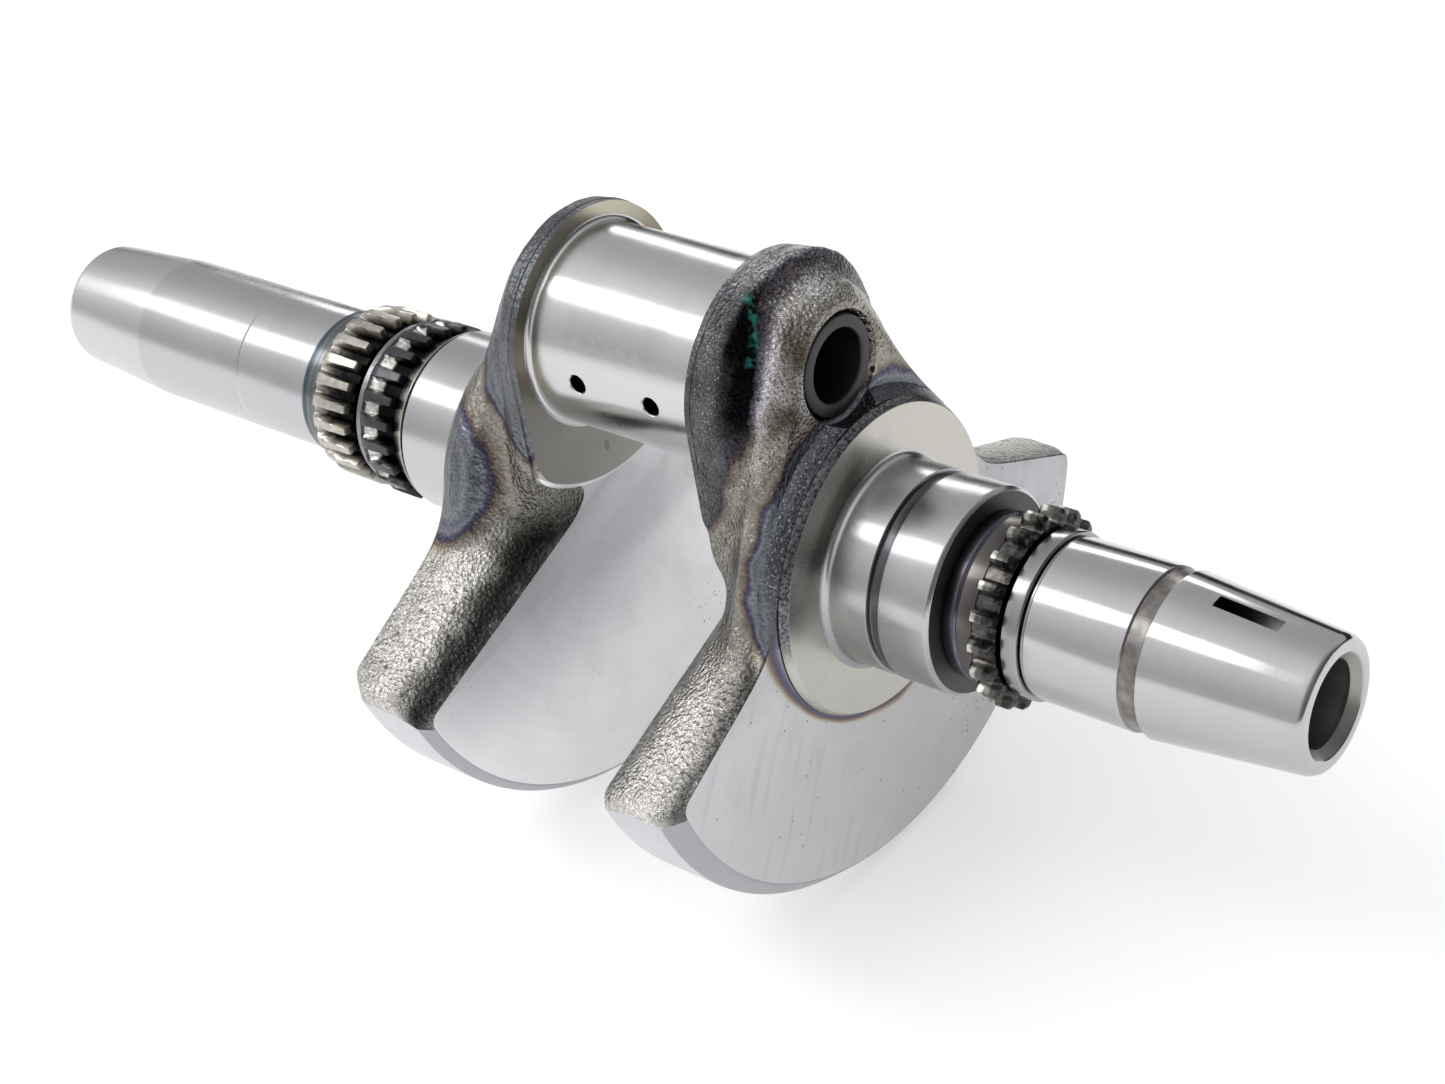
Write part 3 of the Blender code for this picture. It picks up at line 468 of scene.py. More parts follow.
right_shaft_steel = metal("right_shaft_steel", AXIS_Z, STEEL, 0.15, spread=0.5, paint=paint_right_shaft)
pin_steel = metal("pin_steel", PIN_Z, (0.63, 0.63, 0.632), 0.20, paint=paint_pin)
groove_steel = metal("grooved_journal_steel", AXIS_Z, STEEL, 0.25, spread=0.7, paint=paint_groove)
left_shaft_steel = metal("left_shaft_steel", AXIS_Z, STEEL, 0.25, paint=paint_left_shaft)
print("local finishes:", right_shaft_steel.name, pin_steel.name, groove_steel.name, left_shaft_steel.name)

# %% [markdown]
# Hot steel takes on colour in air: straw first, then brown, purple and blue. The rings beside the teeth
# and the webs near the hardened journals show these bands. On the turned rings the colour follows the
# width of the ring, so a ramp along the shaft is enough.

# %% Tinted rings
def banded(stops, start, end):
    """A paint that lays colours along the shaft between two stations."""
    def paint(tree, here, colour, rough):
        wave = use(tree, clouds, {"Place": here["place"], "Size": 7.0})["Shade"]
        along = calc(tree, "ADD", here["x"], calc(tree, "MULTIPLY", calc(tree, "SUBTRACT", wave, 0.5), 0.35))
        spot = add(tree, "MapRange", (), {"Value": along, "From Min": start, "From Max": end}).outputs[0]
        lines = use(tree, tool_lines, {"Along": here["x"], "Out": here["out"], "Pitch": 0.5})["Shade"]
        tint = blend(
            tree, calc(tree, "MULTIPLY", lines, 0.22), ramp(tree, spot, stops), (0.9, 0.9, 0.9), "MULTIPLY",
        )
        return tint, rough
    return paint


COLLAR_TINT = (
    (0.00, (0.03, 0.05, 0.09)), (0.07, (0.16, 0.20, 0.24)), (0.16, (0.07, 0.095, 0.125)),
    (0.30, (0.14, 0.165, 0.18)),
    (0.42, (0.22, 0.23, 0.235)), (0.55, (0.14, 0.155, 0.17)), (0.68, (0.21, 0.215, 0.22)),
    (0.82, (0.16, 0.17, 0.18)),
    (1.00, (0.26, 0.25, 0.23)),
)
SHOULDER_TINT = (
    (0.0, (0.50, 0.50, 0.52)), (0.18, (0.10, 0.09, 0.12)), (0.40, (0.17, 0.155, 0.18)),
    (0.66, (0.40, 0.36, 0.28)), (0.85, (0.38, 0.33, 0.25)), (1.0, (0.60, 0.59, 0.58)),
)
# Temper colours of the step collar, darkened overall as painted shade from the teeth beside it, and near black
# at the journal end as painted shade.
STEP_TINT_AND_SHADE = (
    (0.0, (0.05, 0.05, 0.055)), (0.20, (0.13, 0.13, 0.14)), (0.38, (0.20, 0.20, 0.22)),
    (0.43, (0.10, 0.08, 0.10)),
    (0.47, (0.10, 0.12, 0.22)), (0.51, (0.28, 0.22, 0.16)), (0.57, (0.17, 0.16, 0.155)),
    (0.80, (0.13, 0.12, 0.112)),
    (1.0, (0.10, 0.095, 0.09)),
)
collar_steel = metal(
    "tinted_collar_steel", AXIS_Z, STEEL, 0.24, paint=banded(COLLAR_TINT, *span("left_tinted_collar")),
)
shoulder_steel = metal(
    "shoulder_steel", AXIS_Z, STEEL, 0.24, paint=banded(SHOULDER_TINT, *span("left_shoulder_ring")),
)
step_steel = metal(
    "step_collar_steel", AXIS_Z, STEEL, 0.24, paint=banded(STEP_TINT_AND_SHADE, *span("right_step_collar")),
)
# The spacer rings sit low between the toothed rings; their near-black colour is painted shade.
spacer_shade_steel = metal("spacer_shade_steel", AXIS_Z, (0.045, 0.045, 0.048), 0.42)
collar_grey = metal("collar_grey_steel", AXIS_Z, (0.36, 0.36, 0.365), 0.22, uneven=0.12, pitch=0.5)
print("tinted rings:", collar_steel.name, shoulder_steel.name, step_steel.name)

# %% Satin faces and the plug
def paint_left_plate(tree, here, colour, rough):
    # Painted highlight: the bottom arc of the chamfer is painted near white.
    edge = fade(tree, here["out"], 34.2, 34.5)
    colour, rough = coat(tree, edge, colour, rough, (0.97, 0.97, 0.96), 0.30)
    high = fade(tree, here["z"], -17.0, -6.0)
    burn = ramp(tree, fade(tree, here["z"], -14.0, 25.0), (
        (0.0, (0.50, 0.485, 0.42)), (0.25, (0.34, 0.31, 0.24)), (0.55, (0.20, 0.175, 0.14)),
        (0.78, (0.30, 0.27, 0.22)), (1.0, (0.56, 0.53, 0.42)),
    ))
    colour, rough = coat(tree, high, colour, rough, burn, 0.30)
    spot_y = calc(tree, "POWER", calc(tree, "DIVIDE", calc(tree, "ADD", here["y"], 4.6), 0.75), 2.0)
    spot_z = calc(tree, "POWER", calc(tree, "DIVIDE", calc(tree, "ADD", here["z"], 27.6), 1.5), 2.0)
    spot = fade(tree, calc(tree, "ADD", spot_y, spot_z), 0.4, 1.3, 0.55, 0.0)
    return coat(tree, spot, colour, rough, (0.20, 0.20, 0.17), 0.45)


def paint_plug(tree, here, colour, rough):
    # Painted shade: the hollow inside the cup plug is painted near black.
    inner = fade(tree, here["out"], 7.2, 7.6, 1.0, 0.0)
    return coat(tree, inner, colour, rough, (0.012, 0.012, 0.013), 0.55)


def paint_disc(tree, here, colour, rough):
    side = calc(tree, "MULTIPLY", fade(tree, here["out"], 31.86, 31.98), fade(tree, here["z"], -7.0, 3.0))
    dimples = use(tree, skin, {"Place": here["place"]})["Shade"]
    # Painted shade: the near side of the disc face is multiplied darker, standing in for a dark reflection.
    painted_shade_side = calc(
        tree, "MULTIPLY", within(tree, here["z"], 2.0, 17.0, 5.0),
        fade(tree, here["y"], -24.0, -14.0, 1.0, 0.0),
    )
    colour = blend(tree, painted_shade_side, colour, (0.45, 0.445, 0.45), "MULTIPLY")
    # Painted shade: on the near side, above the axis, the disc face by its root is multiplied darker.
    painted_shade_root = calc(
        tree, "MULTIPLY", fade(tree, here["out"], 25.0, 28.5, 1.0, 0.0),
        fade(tree, here["y"], -8.0, -2.0, 1.0, 0.0),
    )
    painted_shade_root = calc(tree, "MULTIPLY", painted_shade_root, fade(tree, here["z"], 6.0, 16.0))
    colour = blend(tree, painted_shade_root, colour, (0.42, 0.40, 0.37), "MULTIPLY")
    return coat(
        tree, side, colour, rough, blend(tree, dimples, (0.04, 0.043, 0.05), (0.24, 0.245, 0.255)), 0.33,
    )


satin = metal("satin_steel", AXIS_Z, (0.57, 0.557, 0.51), 0.29, spread=0.5, uneven=0.05, paint=paint_disc)
left_plate_steel = metal(
    "left_plate_steel", PIN_Z, (0.47, 0.46, 0.415), 0.36, spread=0.3, uneven=0.06, paint=paint_left_plate,
)
right_plate_steel = metal("right_plate_steel", PIN_Z, (0.53, 0.515, 0.45), 0.36, spread=0.3, uneven=0.06)
PLUG_Z = AXIS_Z + 43.2 * MM
plug_steel = metal(
    "plug_steel", PLUG_Z, (0.075, 0.075, 0.075), 0.42, spread=0.3, uneven=0.2, paint=paint_plug,
)
print("satin faces:", satin.name, left_plate_steel.name, right_plate_steel.name, plug_steel.name)

# %% Tooth finishes
def toothed_steel(name, stops, low, high, rough, lit, dark, facet, rim=None):
    """Teeth coloured by their distance to the axis, near black in the gaps as painted shade, with painted
    highlights on lit stations, painted shade on dark stations, and a bare rim.
    """
    def paint(tree, here, colour, rough_here):
        grime = use(tree, clouds, {"Place": here["place"], "Size": 1.3})["Shade"]
        out = calc(tree, "ADD", here["out"], calc(tree, "MULTIPLY", calc(tree, "SUBTRACT", grime, 0.5), 0.55))
        # Colour by radius: the teeth's own tone on top, near black at the gap floors as painted shade.
        wear_and_gap_shade = ramp(
            tree, add(tree, "MapRange", (), {"Value": out, "From Min": low, "From Max": high}).outputs[0],
            stops,
        )
        dull = blend(tree, calc(tree, "MULTIPLY", grime, 0.5), wear_and_gap_shade, (0.40, 0.38, 0.35), "MULTIPLY")
        # Painted highlight: lit stations get a pale colour on the tooth facets.
        painted_highlight = calc(tree, "MULTIPLY", within(tree, here["x"], *lit, 0.35), within(tree, out, *facet, 0.12))
        dull = blend(tree, painted_highlight, dull, blend(tree, grime, (0.80, 0.79, 0.76), (0.40, 0.385, 0.355)))
        if rim:
            dull = blend(tree, within(tree, here["x"], *rim, 0.1), dull, (0.27, 0.262, 0.285))
        # Painted shade: dark stations are painted near black.
        soot_and_shade = calc(
            tree, "MULTIPLY", within(tree, here["x"], *dark, 0.3), fade(tree, grime, 0.15, 0.5, 0.9, 0.5),
        )
        return blend(tree, soot_and_shade, dull, (0.012, 0.012, 0.013)), rough_here
    return metal(name, AXIS_Z, STEEL, rough, spread=0.0, paint=paint)


near = span("left_outer_sprocket")[1]
cream_teeth = toothed_steel("cream_teeth", (
    (0.0, (0.008, 0.008, 0.008)), (0.22, (0.05, 0.047, 0.042)), (0.42, (0.30, 0.29, 0.255)),
    (0.70, (0.56, 0.54, 0.48)),
    (0.92, (0.60, 0.58, 0.51)), (1.0, (0.62, 0.60, 0.54)),
), 16.9, 19.9, 0.33, (near - 11.4, near - 10.4), (near - 0.2, near + 1.0), (18.4, 19.6))
far, near = span("left_inner_sprocket")
dark_teeth = toothed_steel("dark_teeth", (
    (0.0, (0.008, 0.008, 0.009)), (0.45, (0.015, 0.015, 0.016)), (0.62, (0.07, 0.067, 0.065)),
    (0.80, (0.075, 0.073, 0.076)),
    (1.0, (0.10, 0.097, 0.104)),
), 17.1, 20.0, 0.28, (near - 8.1, near - 5.3), (near - 0.5, near + 1.0), (17.6, 19.35), (far - 1.0, near - 9.4))
near, far = span("right_sprocket")
right_teeth = toothed_steel("right_teeth", (
    (0.0, (0.10, 0.095, 0.09)), (0.12, (0.22, 0.21, 0.20)), (0.3, (0.07, 0.065, 0.06)),
    (0.6, (0.20, 0.19, 0.175)),
    (1.0, (0.16, 0.155, 0.145)),
), 17.1, 20.0, 0.30, (near - 1.0, near + 2.6), (far - 1.1, far + 1.0), (18.7, 21.0))
print("teeth:", cream_teeth.name, dark_teeth.name, right_teeth.name)

# %% [markdown]
# The webs carry three finishes. Their sides are as they left the forge and the shot blast: a grey skin
# of small bright and dark dimples. The flat faces and the rim of the counterweights were machined later
# and look pale and even. Near the journals the heat of hardening drew coloured bands over both. On the
# right web the bands follow how far the heat had to travel, a distance from an axis plus a share of the
# depth. On the left web one band ends at a slanted line and the other at the edge of a rounded tongue.
# Over the forged skin lie painted shade across the flanks, on the necks and on the far sides, and on the
# right web painted light on the top, painted glint specks and painted shade by the thrust disc.

# %% Finishes of the webs
def forged(name, side, across, lobe=()):
    """Forged skin with painted shade across the flank, on the neck and on the far side, heat bands from both
    journals, and a burnt lobe on one web with painted light and glint specks.
    """
    material = bpy.data.materials.new(name)
    material.use_nodes = True
    tree = material.node_tree
    shader = tree.nodes["Principled BSDF"]
    here = around(tree, AXIS_Z)
    dimples = use(tree, skin, {"Place": here["place"]})
    patches = use(tree, clouds, {"Place": here["place"], "Size": 6.0})["Shade"]
    raw = ramp(tree, dimples["Shade"], (
        (0.0, (0.54, 0.535, 0.52)), (0.5, (0.73, 0.722, 0.705)), (1.0, (0.92, 0.913, 0.90)),
    ))
    raw = blend(tree, fade(tree, patches, 0.0, 1.0, 0.40, 0.0), raw, (0.64, 0.62, 0.585), "MULTIPLY")
    depth = calc(tree, "ABSOLUTE", calc(tree, "SUBTRACT", here["x"], side * 23.2))
    swayed = calc(tree, "ADD", depth, calc(tree, "MULTIPLY", calc(tree, "SUBTRACT", patches, 0.5), 1.6))
    # Painted shade across the flank: below the neck a grey ramp over the depth multiplies the skin darker where
    # the flank turns away from the light.
    shade = ramp(tree, add(tree, "MapRange", (), {"Value": swayed, "From Max": 20.85}).outputs[0], [
        (place, (grey, grey * 0.98, grey * 0.95)) for place, grey in across
    ])
    raw = blend(tree, fade(tree, here["z"], -2.0, 9.0, 1.0, 0.0), raw, shade, "MULTIPLY")
    # Painted shade on the neck: the skin is multiplied darker above a line, which on the left web rises with
    # depth.
    neck_height = here["z"]
    if not lobe:
        rise = calc(tree, "MAXIMUM", calc(tree, "SUBTRACT", depth, 4.5), 0.0)
        neck_height = calc(tree, "SUBTRACT", neck_height, calc(tree, "MULTIPLY", rise, 1.8))
    neck = fade(tree, neck_height, -11.0, 3.0)
    raw = blend(tree, neck, raw, (0.39, 0.38, 0.35), "MULTIPLY")
    # Painted shade: the far side of the web is multiplied darker.
    raw = blend(tree, fade(tree, here["y"], 8.0, 24.0), raw, (0.70, 0.695, 0.68), "MULTIPLY")
    # Black specks on the forged skin.
    soot_and_shade = use(tree, specks, {"Place": here["place"], "Size": 2.2, "Share": 0.12})["Mask"]
    raw = blend(tree, calc(tree, "MULTIPLY", soot_and_shade, 0.7), raw, (0.03, 0.024, 0.018))
    grain = ramp(
        tree, dimples["Shade"],
        ((0.0, (0.70, 0.70, 0.70)), (0.5, (0.93, 0.93, 0.93)), (1.0, (1.0, 1.0, 1.0))),
    )
    wander = use(tree, clouds, {"Place": here["place"], "Size": 11.0})["Shade"]
    sway = calc(tree, "MULTIPLY", calc(tree, "SUBTRACT", wander, 0.5), 2.6 if lobe else 1.4)
    depth_left = calc(tree, "SUBTRACT", 20.85, depth)
    if lobe:
        pin = around(tree, PIN_Z)
        far_down = calc(
            tree, "MULTIPLY", calc(tree, "MAXIMUM", calc(tree, "SUBTRACT", 22.0, here["z"]), 0.0), 1.1,
        )
        reach = calc(
            tree, "ADD", calc(tree, "ADD", pin["out"], calc(tree, "MULTIPLY", depth, 1.8)),
            calc(tree, "ADD", far_down, sway),
        )
        span_out = add(tree, "MapRange", (), {"Value": reach, "From Min": 24.0, "From Max": 60.0}).outputs[0]
        hollow_part = calc(
            tree, "MULTIPLY", fade(tree, here["z"], 33.0, 41.0),
            fade(tree, here["y"], -11.0, -3.0, 1.0, 0.0),
        )
        burn = blend(tree, hollow_part, ramp(tree, span_out, lobe[1]), ramp(tree, span_out, lobe[0]))
        burn = blend(tree, fade(tree, patches, 0.3, 0.7, 0.5, 0.0), burn, (0.42, 0.38, 0.34), "MULTIPLY")
        # Painted light: the top of the lobe is mixed towards pale grey.
        painted_top_light = calc(tree, "MULTIPLY", fade(tree, here["z"], 52.0, 60.0), fade(tree, here["y"], -12.0, -2.0))
        painted_top_light = calc(tree, "MULTIPLY", painted_top_light, fade(tree, dimples["Shade"], 0.3, 0.7, 0.25, 0.9))
        painted_top_light = calc(
            tree, "MULTIPLY", painted_top_light, calc(tree, "SUBTRACT", 1.0, within(tree, span_out, 0.37, 0.44, 0.04)),
        )
        burn = blend(tree, painted_top_light, burn, (0.55, 0.55, 0.565))
        # Painted shade in the crease between the plug boss and the thrust disc, towards the outer face.
        under = calc(
            tree, "MULTIPLY", fade(tree, here["z"], 30.0, 38.0, 1.0, 0.0), fade(tree, depth, 13.0, 17.0),
        )
        burn = blend(tree, under, burn, (0.30, 0.285, 0.275), "MULTIPLY")
        colour = blend(tree, fade(tree, here["z"], 8.0, 18.0), raw, blend(tree, 1.0, burn, grain, "MULTIPLY"))
        smooth = calc(
            tree, "MAXIMUM", fade(tree, span_out, 0.03, 0.12, 0.8, 0.0),
            fade(tree, span_out, 0.76, 0.9, 0.0, 0.7),
        )
        smooth = calc(tree, "MULTIPLY", smooth, fade(tree, here["z"], 4.0, 14.0))
        inner_side = calc(
            tree, "MULTIPLY", calc(tree, "MAXIMUM", calc(tree, "SUBTRACT", 7.5, depth), 0.0), 3.0,
        )
        main_reach = calc(
            tree, "ADD", calc(tree, "ADD", here["out"], depth_left), calc(tree, "ADD", inner_side, sway),
        )
        main_past = calc(tree, "SUBTRACT", main_reach, fade(tree, here["z"], -9.0, 8.0, 37.3, 42.5))
    else:
        line = calc(tree, "SUBTRACT", calc(tree, "ADD", calc(tree, "MULTIPLY", depth, 0.95), 16.6), here["z"])
        pin_band = use(tree, temper, {"Past": calc(tree, "ADD", line, sway)})
        colour = blend(tree, pin_band["Share"], raw, blend(tree, 1.0, pin_band["Color"], grain, "MULTIPLY"))
        smooth = pin_band["Share"]
        up = calc(tree, "DIVIDE", calc(tree, "SUBTRACT", here["z"], 12.8), 13.7)
        spot = add(tree, "CombineXYZ", (), {0: up, 1: calc(tree, "DIVIDE", depth_left, 14.0)}).outputs[0]
        tongue = add(tree, "VectorMath", {"operation": "LENGTH"}, {0: spot}).outputs["Value"]
        main_past = calc(tree, "ADD", calc(tree, "MULTIPLY", calc(tree, "SUBTRACT", tongue, 1.0), 14.0), sway)
    main_band = use(tree, temper, {"Past": main_past})
    colour = blend(tree, main_band["Share"], colour, blend(tree, 1.0, main_band["Color"], grain, "MULTIPLY"))
    smooth = calc(tree, "MAXIMUM", smooth, main_band["Share"])
    shader.inputs["Metallic"].default_value = 1.0
    if lobe:
        # Painted shade along the outer side of the web, where the neck meets the thrust disc.
        along = calc(tree, "MULTIPLY", fade(tree, depth, 17.0, 18.6), fade(tree, here["z"], 4.0, 14.0))
        colour = blend(tree, along, colour, (0.62, 0.62, 0.62), "MULTIPLY")
        ridge = calc(
            tree, "MULTIPLY", within(tree, span_out, 0.12, 0.30, 0.05), fade(tree, here["z"], 32.0, 40.0),
        )
        # Painted glint specks: small bright spots mixed into the colour on the ridge and along the outer side.
        painted_glints = add(
            tree, "TexNoise", (), {"Vector": here["place"], "Scale": 2.1, "Detail": 3.0, "Roughness": 0.6},
        ).outputs["Fac"]
        painted_glints = calc(
            tree, "MULTIPLY", fade(tree, painted_glints, 0.56, 0.72, 0.0, 0.75),
            calc(tree, "MAXIMUM", ridge, along),
        )
        colour = blend(tree, painted_glints, colour, (0.66, 0.66, 0.67))
        lane = calc(
            tree, "ADD", here["y"], calc(tree, "MULTIPLY", calc(tree, "SUBTRACT", 61.3, here["z"]), 0.62),
        )
        mark = calc(
            tree, "MULTIPLY", within(tree, lane, -10.6, -9.2, 0.5),
            within(tree, here["z"], 50.6, 61.8, 0.4),
        )
        mark = calc(tree, "MULTIPLY", mark, within(tree, depth, 4.6, 12.0, 0.3))
        broken = add(
            tree, "TexNoise", (), {"Vector": here["place"], "Scale": 0.55, "Detail": 1.0},
        ).outputs["Fac"]
        mark = calc(tree, "MULTIPLY", mark, fade(tree, broken, 0.36, 0.62, 0.0, 0.9))
        colour = blend(tree, mark, colour, (0.008, 0.19, 0.155))
        tree.links.new(calc(tree, "SUBTRACT", 1.0, mark), shader.inputs["Metallic"])
        # The stake mark is painted, not modelled: a pale ring as painted highlight on its rim and a near-black
        # centre as painted shade in its pit.
        dot = add(
            tree, "VectorMath", {"operation": "DISTANCE"}, {0: here["place"], 1: (40.6, 9.5, 37.2)},
        ).outputs["Value"]
        colour = blend(tree, within(tree, dot, 0.75, 1.15, 0.15), colour, (0.42, 0.40, 0.36))
        colour = blend(tree, fade(tree, dot, 0.5, 0.8, 1.0, 0.0), colour, (0.03, 0.03, 0.03))
    tree.links.new(colour, shader.inputs["Base Color"])
    tree.links.new(fade(tree, smooth, 0.0, 1.0, 0.20, 0.33), shader.inputs["Roughness"])
    height = calc(tree, "MULTIPLY", dimples["Height"], fade(tree, smooth, 0.0, 1.0, 1.0, 0.40))
    bump = add(tree, "Bump", (), {"Height": height, "Strength": 1.0, "Distance": 0.0005})
    tree.links.new(bump.outputs["Normal"], shader.inputs["Normal"])
    return material


HOLLOW_TINT = (
    (0.00, (0.14, 0.147, 0.157)), (0.07, (0.145, 0.152, 0.16)), (0.13, (0.155, 0.155, 0.16)),
    (0.25, (0.12, 0.12, 0.125)),
    (0.31, (0.07, 0.07, 0.072)), (0.37, (0.006, 0.005, 0.006)), (0.43, (0.006, 0.005, 0.007)),
    (0.49, (0.20, 0.185, 0.22)),
    (0.54, (0.66, 0.64, 0.67)), (0.59, (0.36, 0.33, 0.315)), (0.64, (0.15, 0.125, 0.10)),
    (0.71, (0.26, 0.23, 0.185)),
    (0.78, (0.42, 0.385, 0.33)), (0.86, (0.50, 0.47, 0.42)), (1.00, (0.46, 0.435, 0.39)),
)
CALM_TINT = (
    (0.00, (0.15, 0.157, 0.167)), (0.10, (0.17, 0.176, 0.185)), (0.20, (0.165, 0.167, 0.172)),
    (0.32, (0.16, 0.165, 0.175)),
    (0.395, (0.10, 0.10, 0.125)), (0.43, (0.13, 0.105, 0.11)), (0.47, (0.30, 0.265, 0.22)),
    (0.55, (0.46, 0.435, 0.385)),
    (0.65, (0.45, 0.42, 0.365)), (0.75, (0.38, 0.345, 0.29)), (0.86, (0.46, 0.435, 0.39)),
    (1.00, (0.46, 0.44, 0.40)),
)
LEFT_FLANK_SHADE = (
    (0.0, 0.30), (0.03, 0.12), (0.09, 0.06), (0.17, 0.11), (0.28, 0.45), (0.40, 1.0), (0.65, 1.0),
    (0.85, 0.80), (1.0, 0.70),
)
RIGHT_FLANK_SHADE = (
    (0.0, 0.36), (0.06, 0.52), (0.20, 0.80), (0.42, 1.0), (0.68, 1.0), (0.82, 0.70), (0.91, 0.26),
    (0.96, 0.18), (1.0, 0.36),
)
forged_left = forged("forged_left", -1, LEFT_FLANK_SHADE)
forged_right = forged("forged_right", 1, RIGHT_FLANK_SHADE, (HOLLOW_TINT, CALM_TINT))
print("forged skins:", forged_left.name, forged_right.name)

# %% Machined faces and rims of the counterweights
def paint_face(tree, here, colour, rough, pitted=(18.5, -48.0)):
    spot = add(tree, "CombineXYZ", (), {0: here["y"], 1: here["z"]}).outputs[0]
    gap = add(tree, "VectorMath", {"operation": "DISTANCE"}, {0: spot, 1: (*pitted, 0.0)}).outputs["Value"]
    many = fade(tree, gap, 2.0, 9.0, 0.16, 0.006)
    pits = use(tree, specks, {"Place": here["place"], "Size": 0.9, "Share": many})["Mask"]
    return coat(tree, calc(tree, "MULTIPLY", pits, 0.75), colour, rough, (0.09, 0.085, 0.08), 0.6)


RING_BAND = (
    (0.0, (0.46, 0.45, 0.48)), (0.2, (0.32, 0.32, 0.38)), (0.38, (0.10, 0.10, 0.18)),
    (0.52, (0.08, 0.065, 0.11)),
    (0.66, (0.18, 0.12, 0.10)), (0.82, (0.40, 0.33, 0.24)), (1.0, (0.56, 0.53, 0.47)),
)


def paint_right_face(tree, here, colour, rough):
    colour, rough = paint_face(tree, here, colour, rough, (21.0, -53.0))
    slant = calc(
        tree, "ADD", calc(tree, "MULTIPLY", here["y"], 0.86), calc(tree, "MULTIPLY", here["z"], -0.5),
    )
    run = calc(tree, "ADD", calc(tree, "MULTIPLY", here["y"], 0.5), calc(tree, "MULTIPLY", here["z"], 0.86))
    lane = add(
        tree, "CombineXYZ", (),
        {0: calc(tree, "MULTIPLY", slant, 0.42), 1: calc(tree, "MULTIPLY", run, 0.06)},
    ).outputs[0]
    streak = add(tree, "TexNoise", (), {"Vector": lane, "Scale": 1.0, "Detail": 3.0}).outputs["Fac"]
    wet = calc(
        tree, "MULTIPLY", fade(tree, streak, 0.52, 0.72, 0.0, 0.22),
        fade(tree, here["y"], -30.0, -5.0, 1.0, 0.1),
    )
    colour, rough = coat(tree, wet, colour, rough, (0.34, 0.34, 0.37), 0.42)
    # Painted shade: the face is multiplied darker towards the back and higher up.
    colour = blend(tree, fade(tree, here["y"], -28.0, 30.0), colour, (0.86, 0.86, 0.87), "MULTIPLY")
    colour = blend(tree, fade(tree, here["z"], -55.0, -30.0), colour, (0.95, 0.95, 0.955), "MULTIPLY")
    turn_down = calc(tree, "ARCTAN2", calc(tree, "MINIMUM", here["z"], -0.01), here["y"])
    wires = {"Value": turn_down, "From Min": -math.pi, "From Max": -math.pi / 3}
    spread = ramp(tree, add(tree, "MapRange", (), wires).outputs[0], (
        (0.0, (0.62, 0.62, 0.62)), (0.13, (0.42, 0.42, 0.42)), (0.24, (0.30, 0.30, 0.30)),
        (0.40, (0.25, 0.25, 0.25)),
        (0.62, (0.30, 0.30, 0.30)), (0.75, (0.45, 0.45, 0.45)), (0.85, (0.36, 0.36, 0.36)),
        (1.0, (0.16, 0.16, 0.16)),
    ))
    past = calc(tree, "SUBTRACT", here["out"], 31.9)
    place = calc(tree, "DIVIDE", past, calc(tree, "MULTIPLY", spread, 11.0))
    share = fade(tree, place, 0.75, 1.05, 0.92, 0.0)
    return coat(tree, share, colour, rough, ramp(tree, place, RING_BAND), 0.34)


# Painted light: the left face is the same machined steel as the right, given a brighter colour because less
# light falls on it.
LAVENDER = (0.65, 0.648, 0.665)
face_left = metal(
    "left_face_steel", AXIS_Z, (0.86, 0.858, 0.875), 0.40, spread=0.25, pitch=1.4, uneven=0.025,
    paint=paint_face,
)
face_right = metal(
    "right_face_steel", AXIS_Z, LAVENDER, 0.40, spread=0.25, pitch=1.4, uneven=0.025,
    paint=paint_right_face,
)


def paint_rim(tree, here, colour, rough):
    depth = calc(tree, "SUBTRACT", calc(tree, "ABSOLUTE", here["x"]), 23.2)
    # Painted shade: the two chamfers are painted darker grey, standing in for the shaded floor that they
    # reflect.
    chamfers = calc(tree, "ADD", fade(tree, depth, 2.2, 2.4, 1.0, 0.0), fade(tree, depth, 16.7, 16.9))
    return coat(tree, chamfers, colour, rough, (0.40, 0.40, 0.42), 0.34)


rim_steel = metal("rim_steel", AXIS_Z, (0.62, 0.62, 0.65), 0.32, spread=0.3, uneven=0.03, paint=paint_rim)
print("machined:", face_left.name, face_right.name, rim_steel.name)

# %% [markdown]
# Round pieces are made on a lathe, and Blender has one too. Half of the outline is drawn as a chain of
# points, one extrude for each step of the outline. Corners that the real tool leaves rounded are
# bevelled while they are still single points, and the Spin tool turns the chain once round the axis.

# %% Lathe helpers
def start(name, primitive, **settings):
    """Add one primitive, with nothing else selected, and keep its place in the mesh."""
    bpy.ops.object.select_all(action="DESELECT")
    primitive(**settings)
    piece = bpy.context.object
    piece.name = piece.data.name = name
    bpy.ops.object.transform_apply(location=True, rotation=True, scale=True)
    return piece


def pick(piece, test):
    """In edit mode, select the points whose place passes a test."""
    mesh = bmesh.from_edit_mesh(piece.data)
    for point in mesh.verts:
        point.select_set(test(point.co))
    mesh.select_flush_mode()
    bmesh.update_edit_mesh(piece.data)


def close_up(piece, angle=30.0):
    """Weld the seams, turn the faces outwards and shade across soft edges only."""
    bpy.ops.mesh.select_all(action="SELECT")
    bpy.ops.mesh.remove_doubles(threshold=1e-6)
    bpy.ops.mesh.normals_make_consistent(inside=False)
    bpy.ops.object.mode_set(mode="OBJECT")
    bpy.ops.object.shade_smooth_by_angle(angle=math.radians(angle))


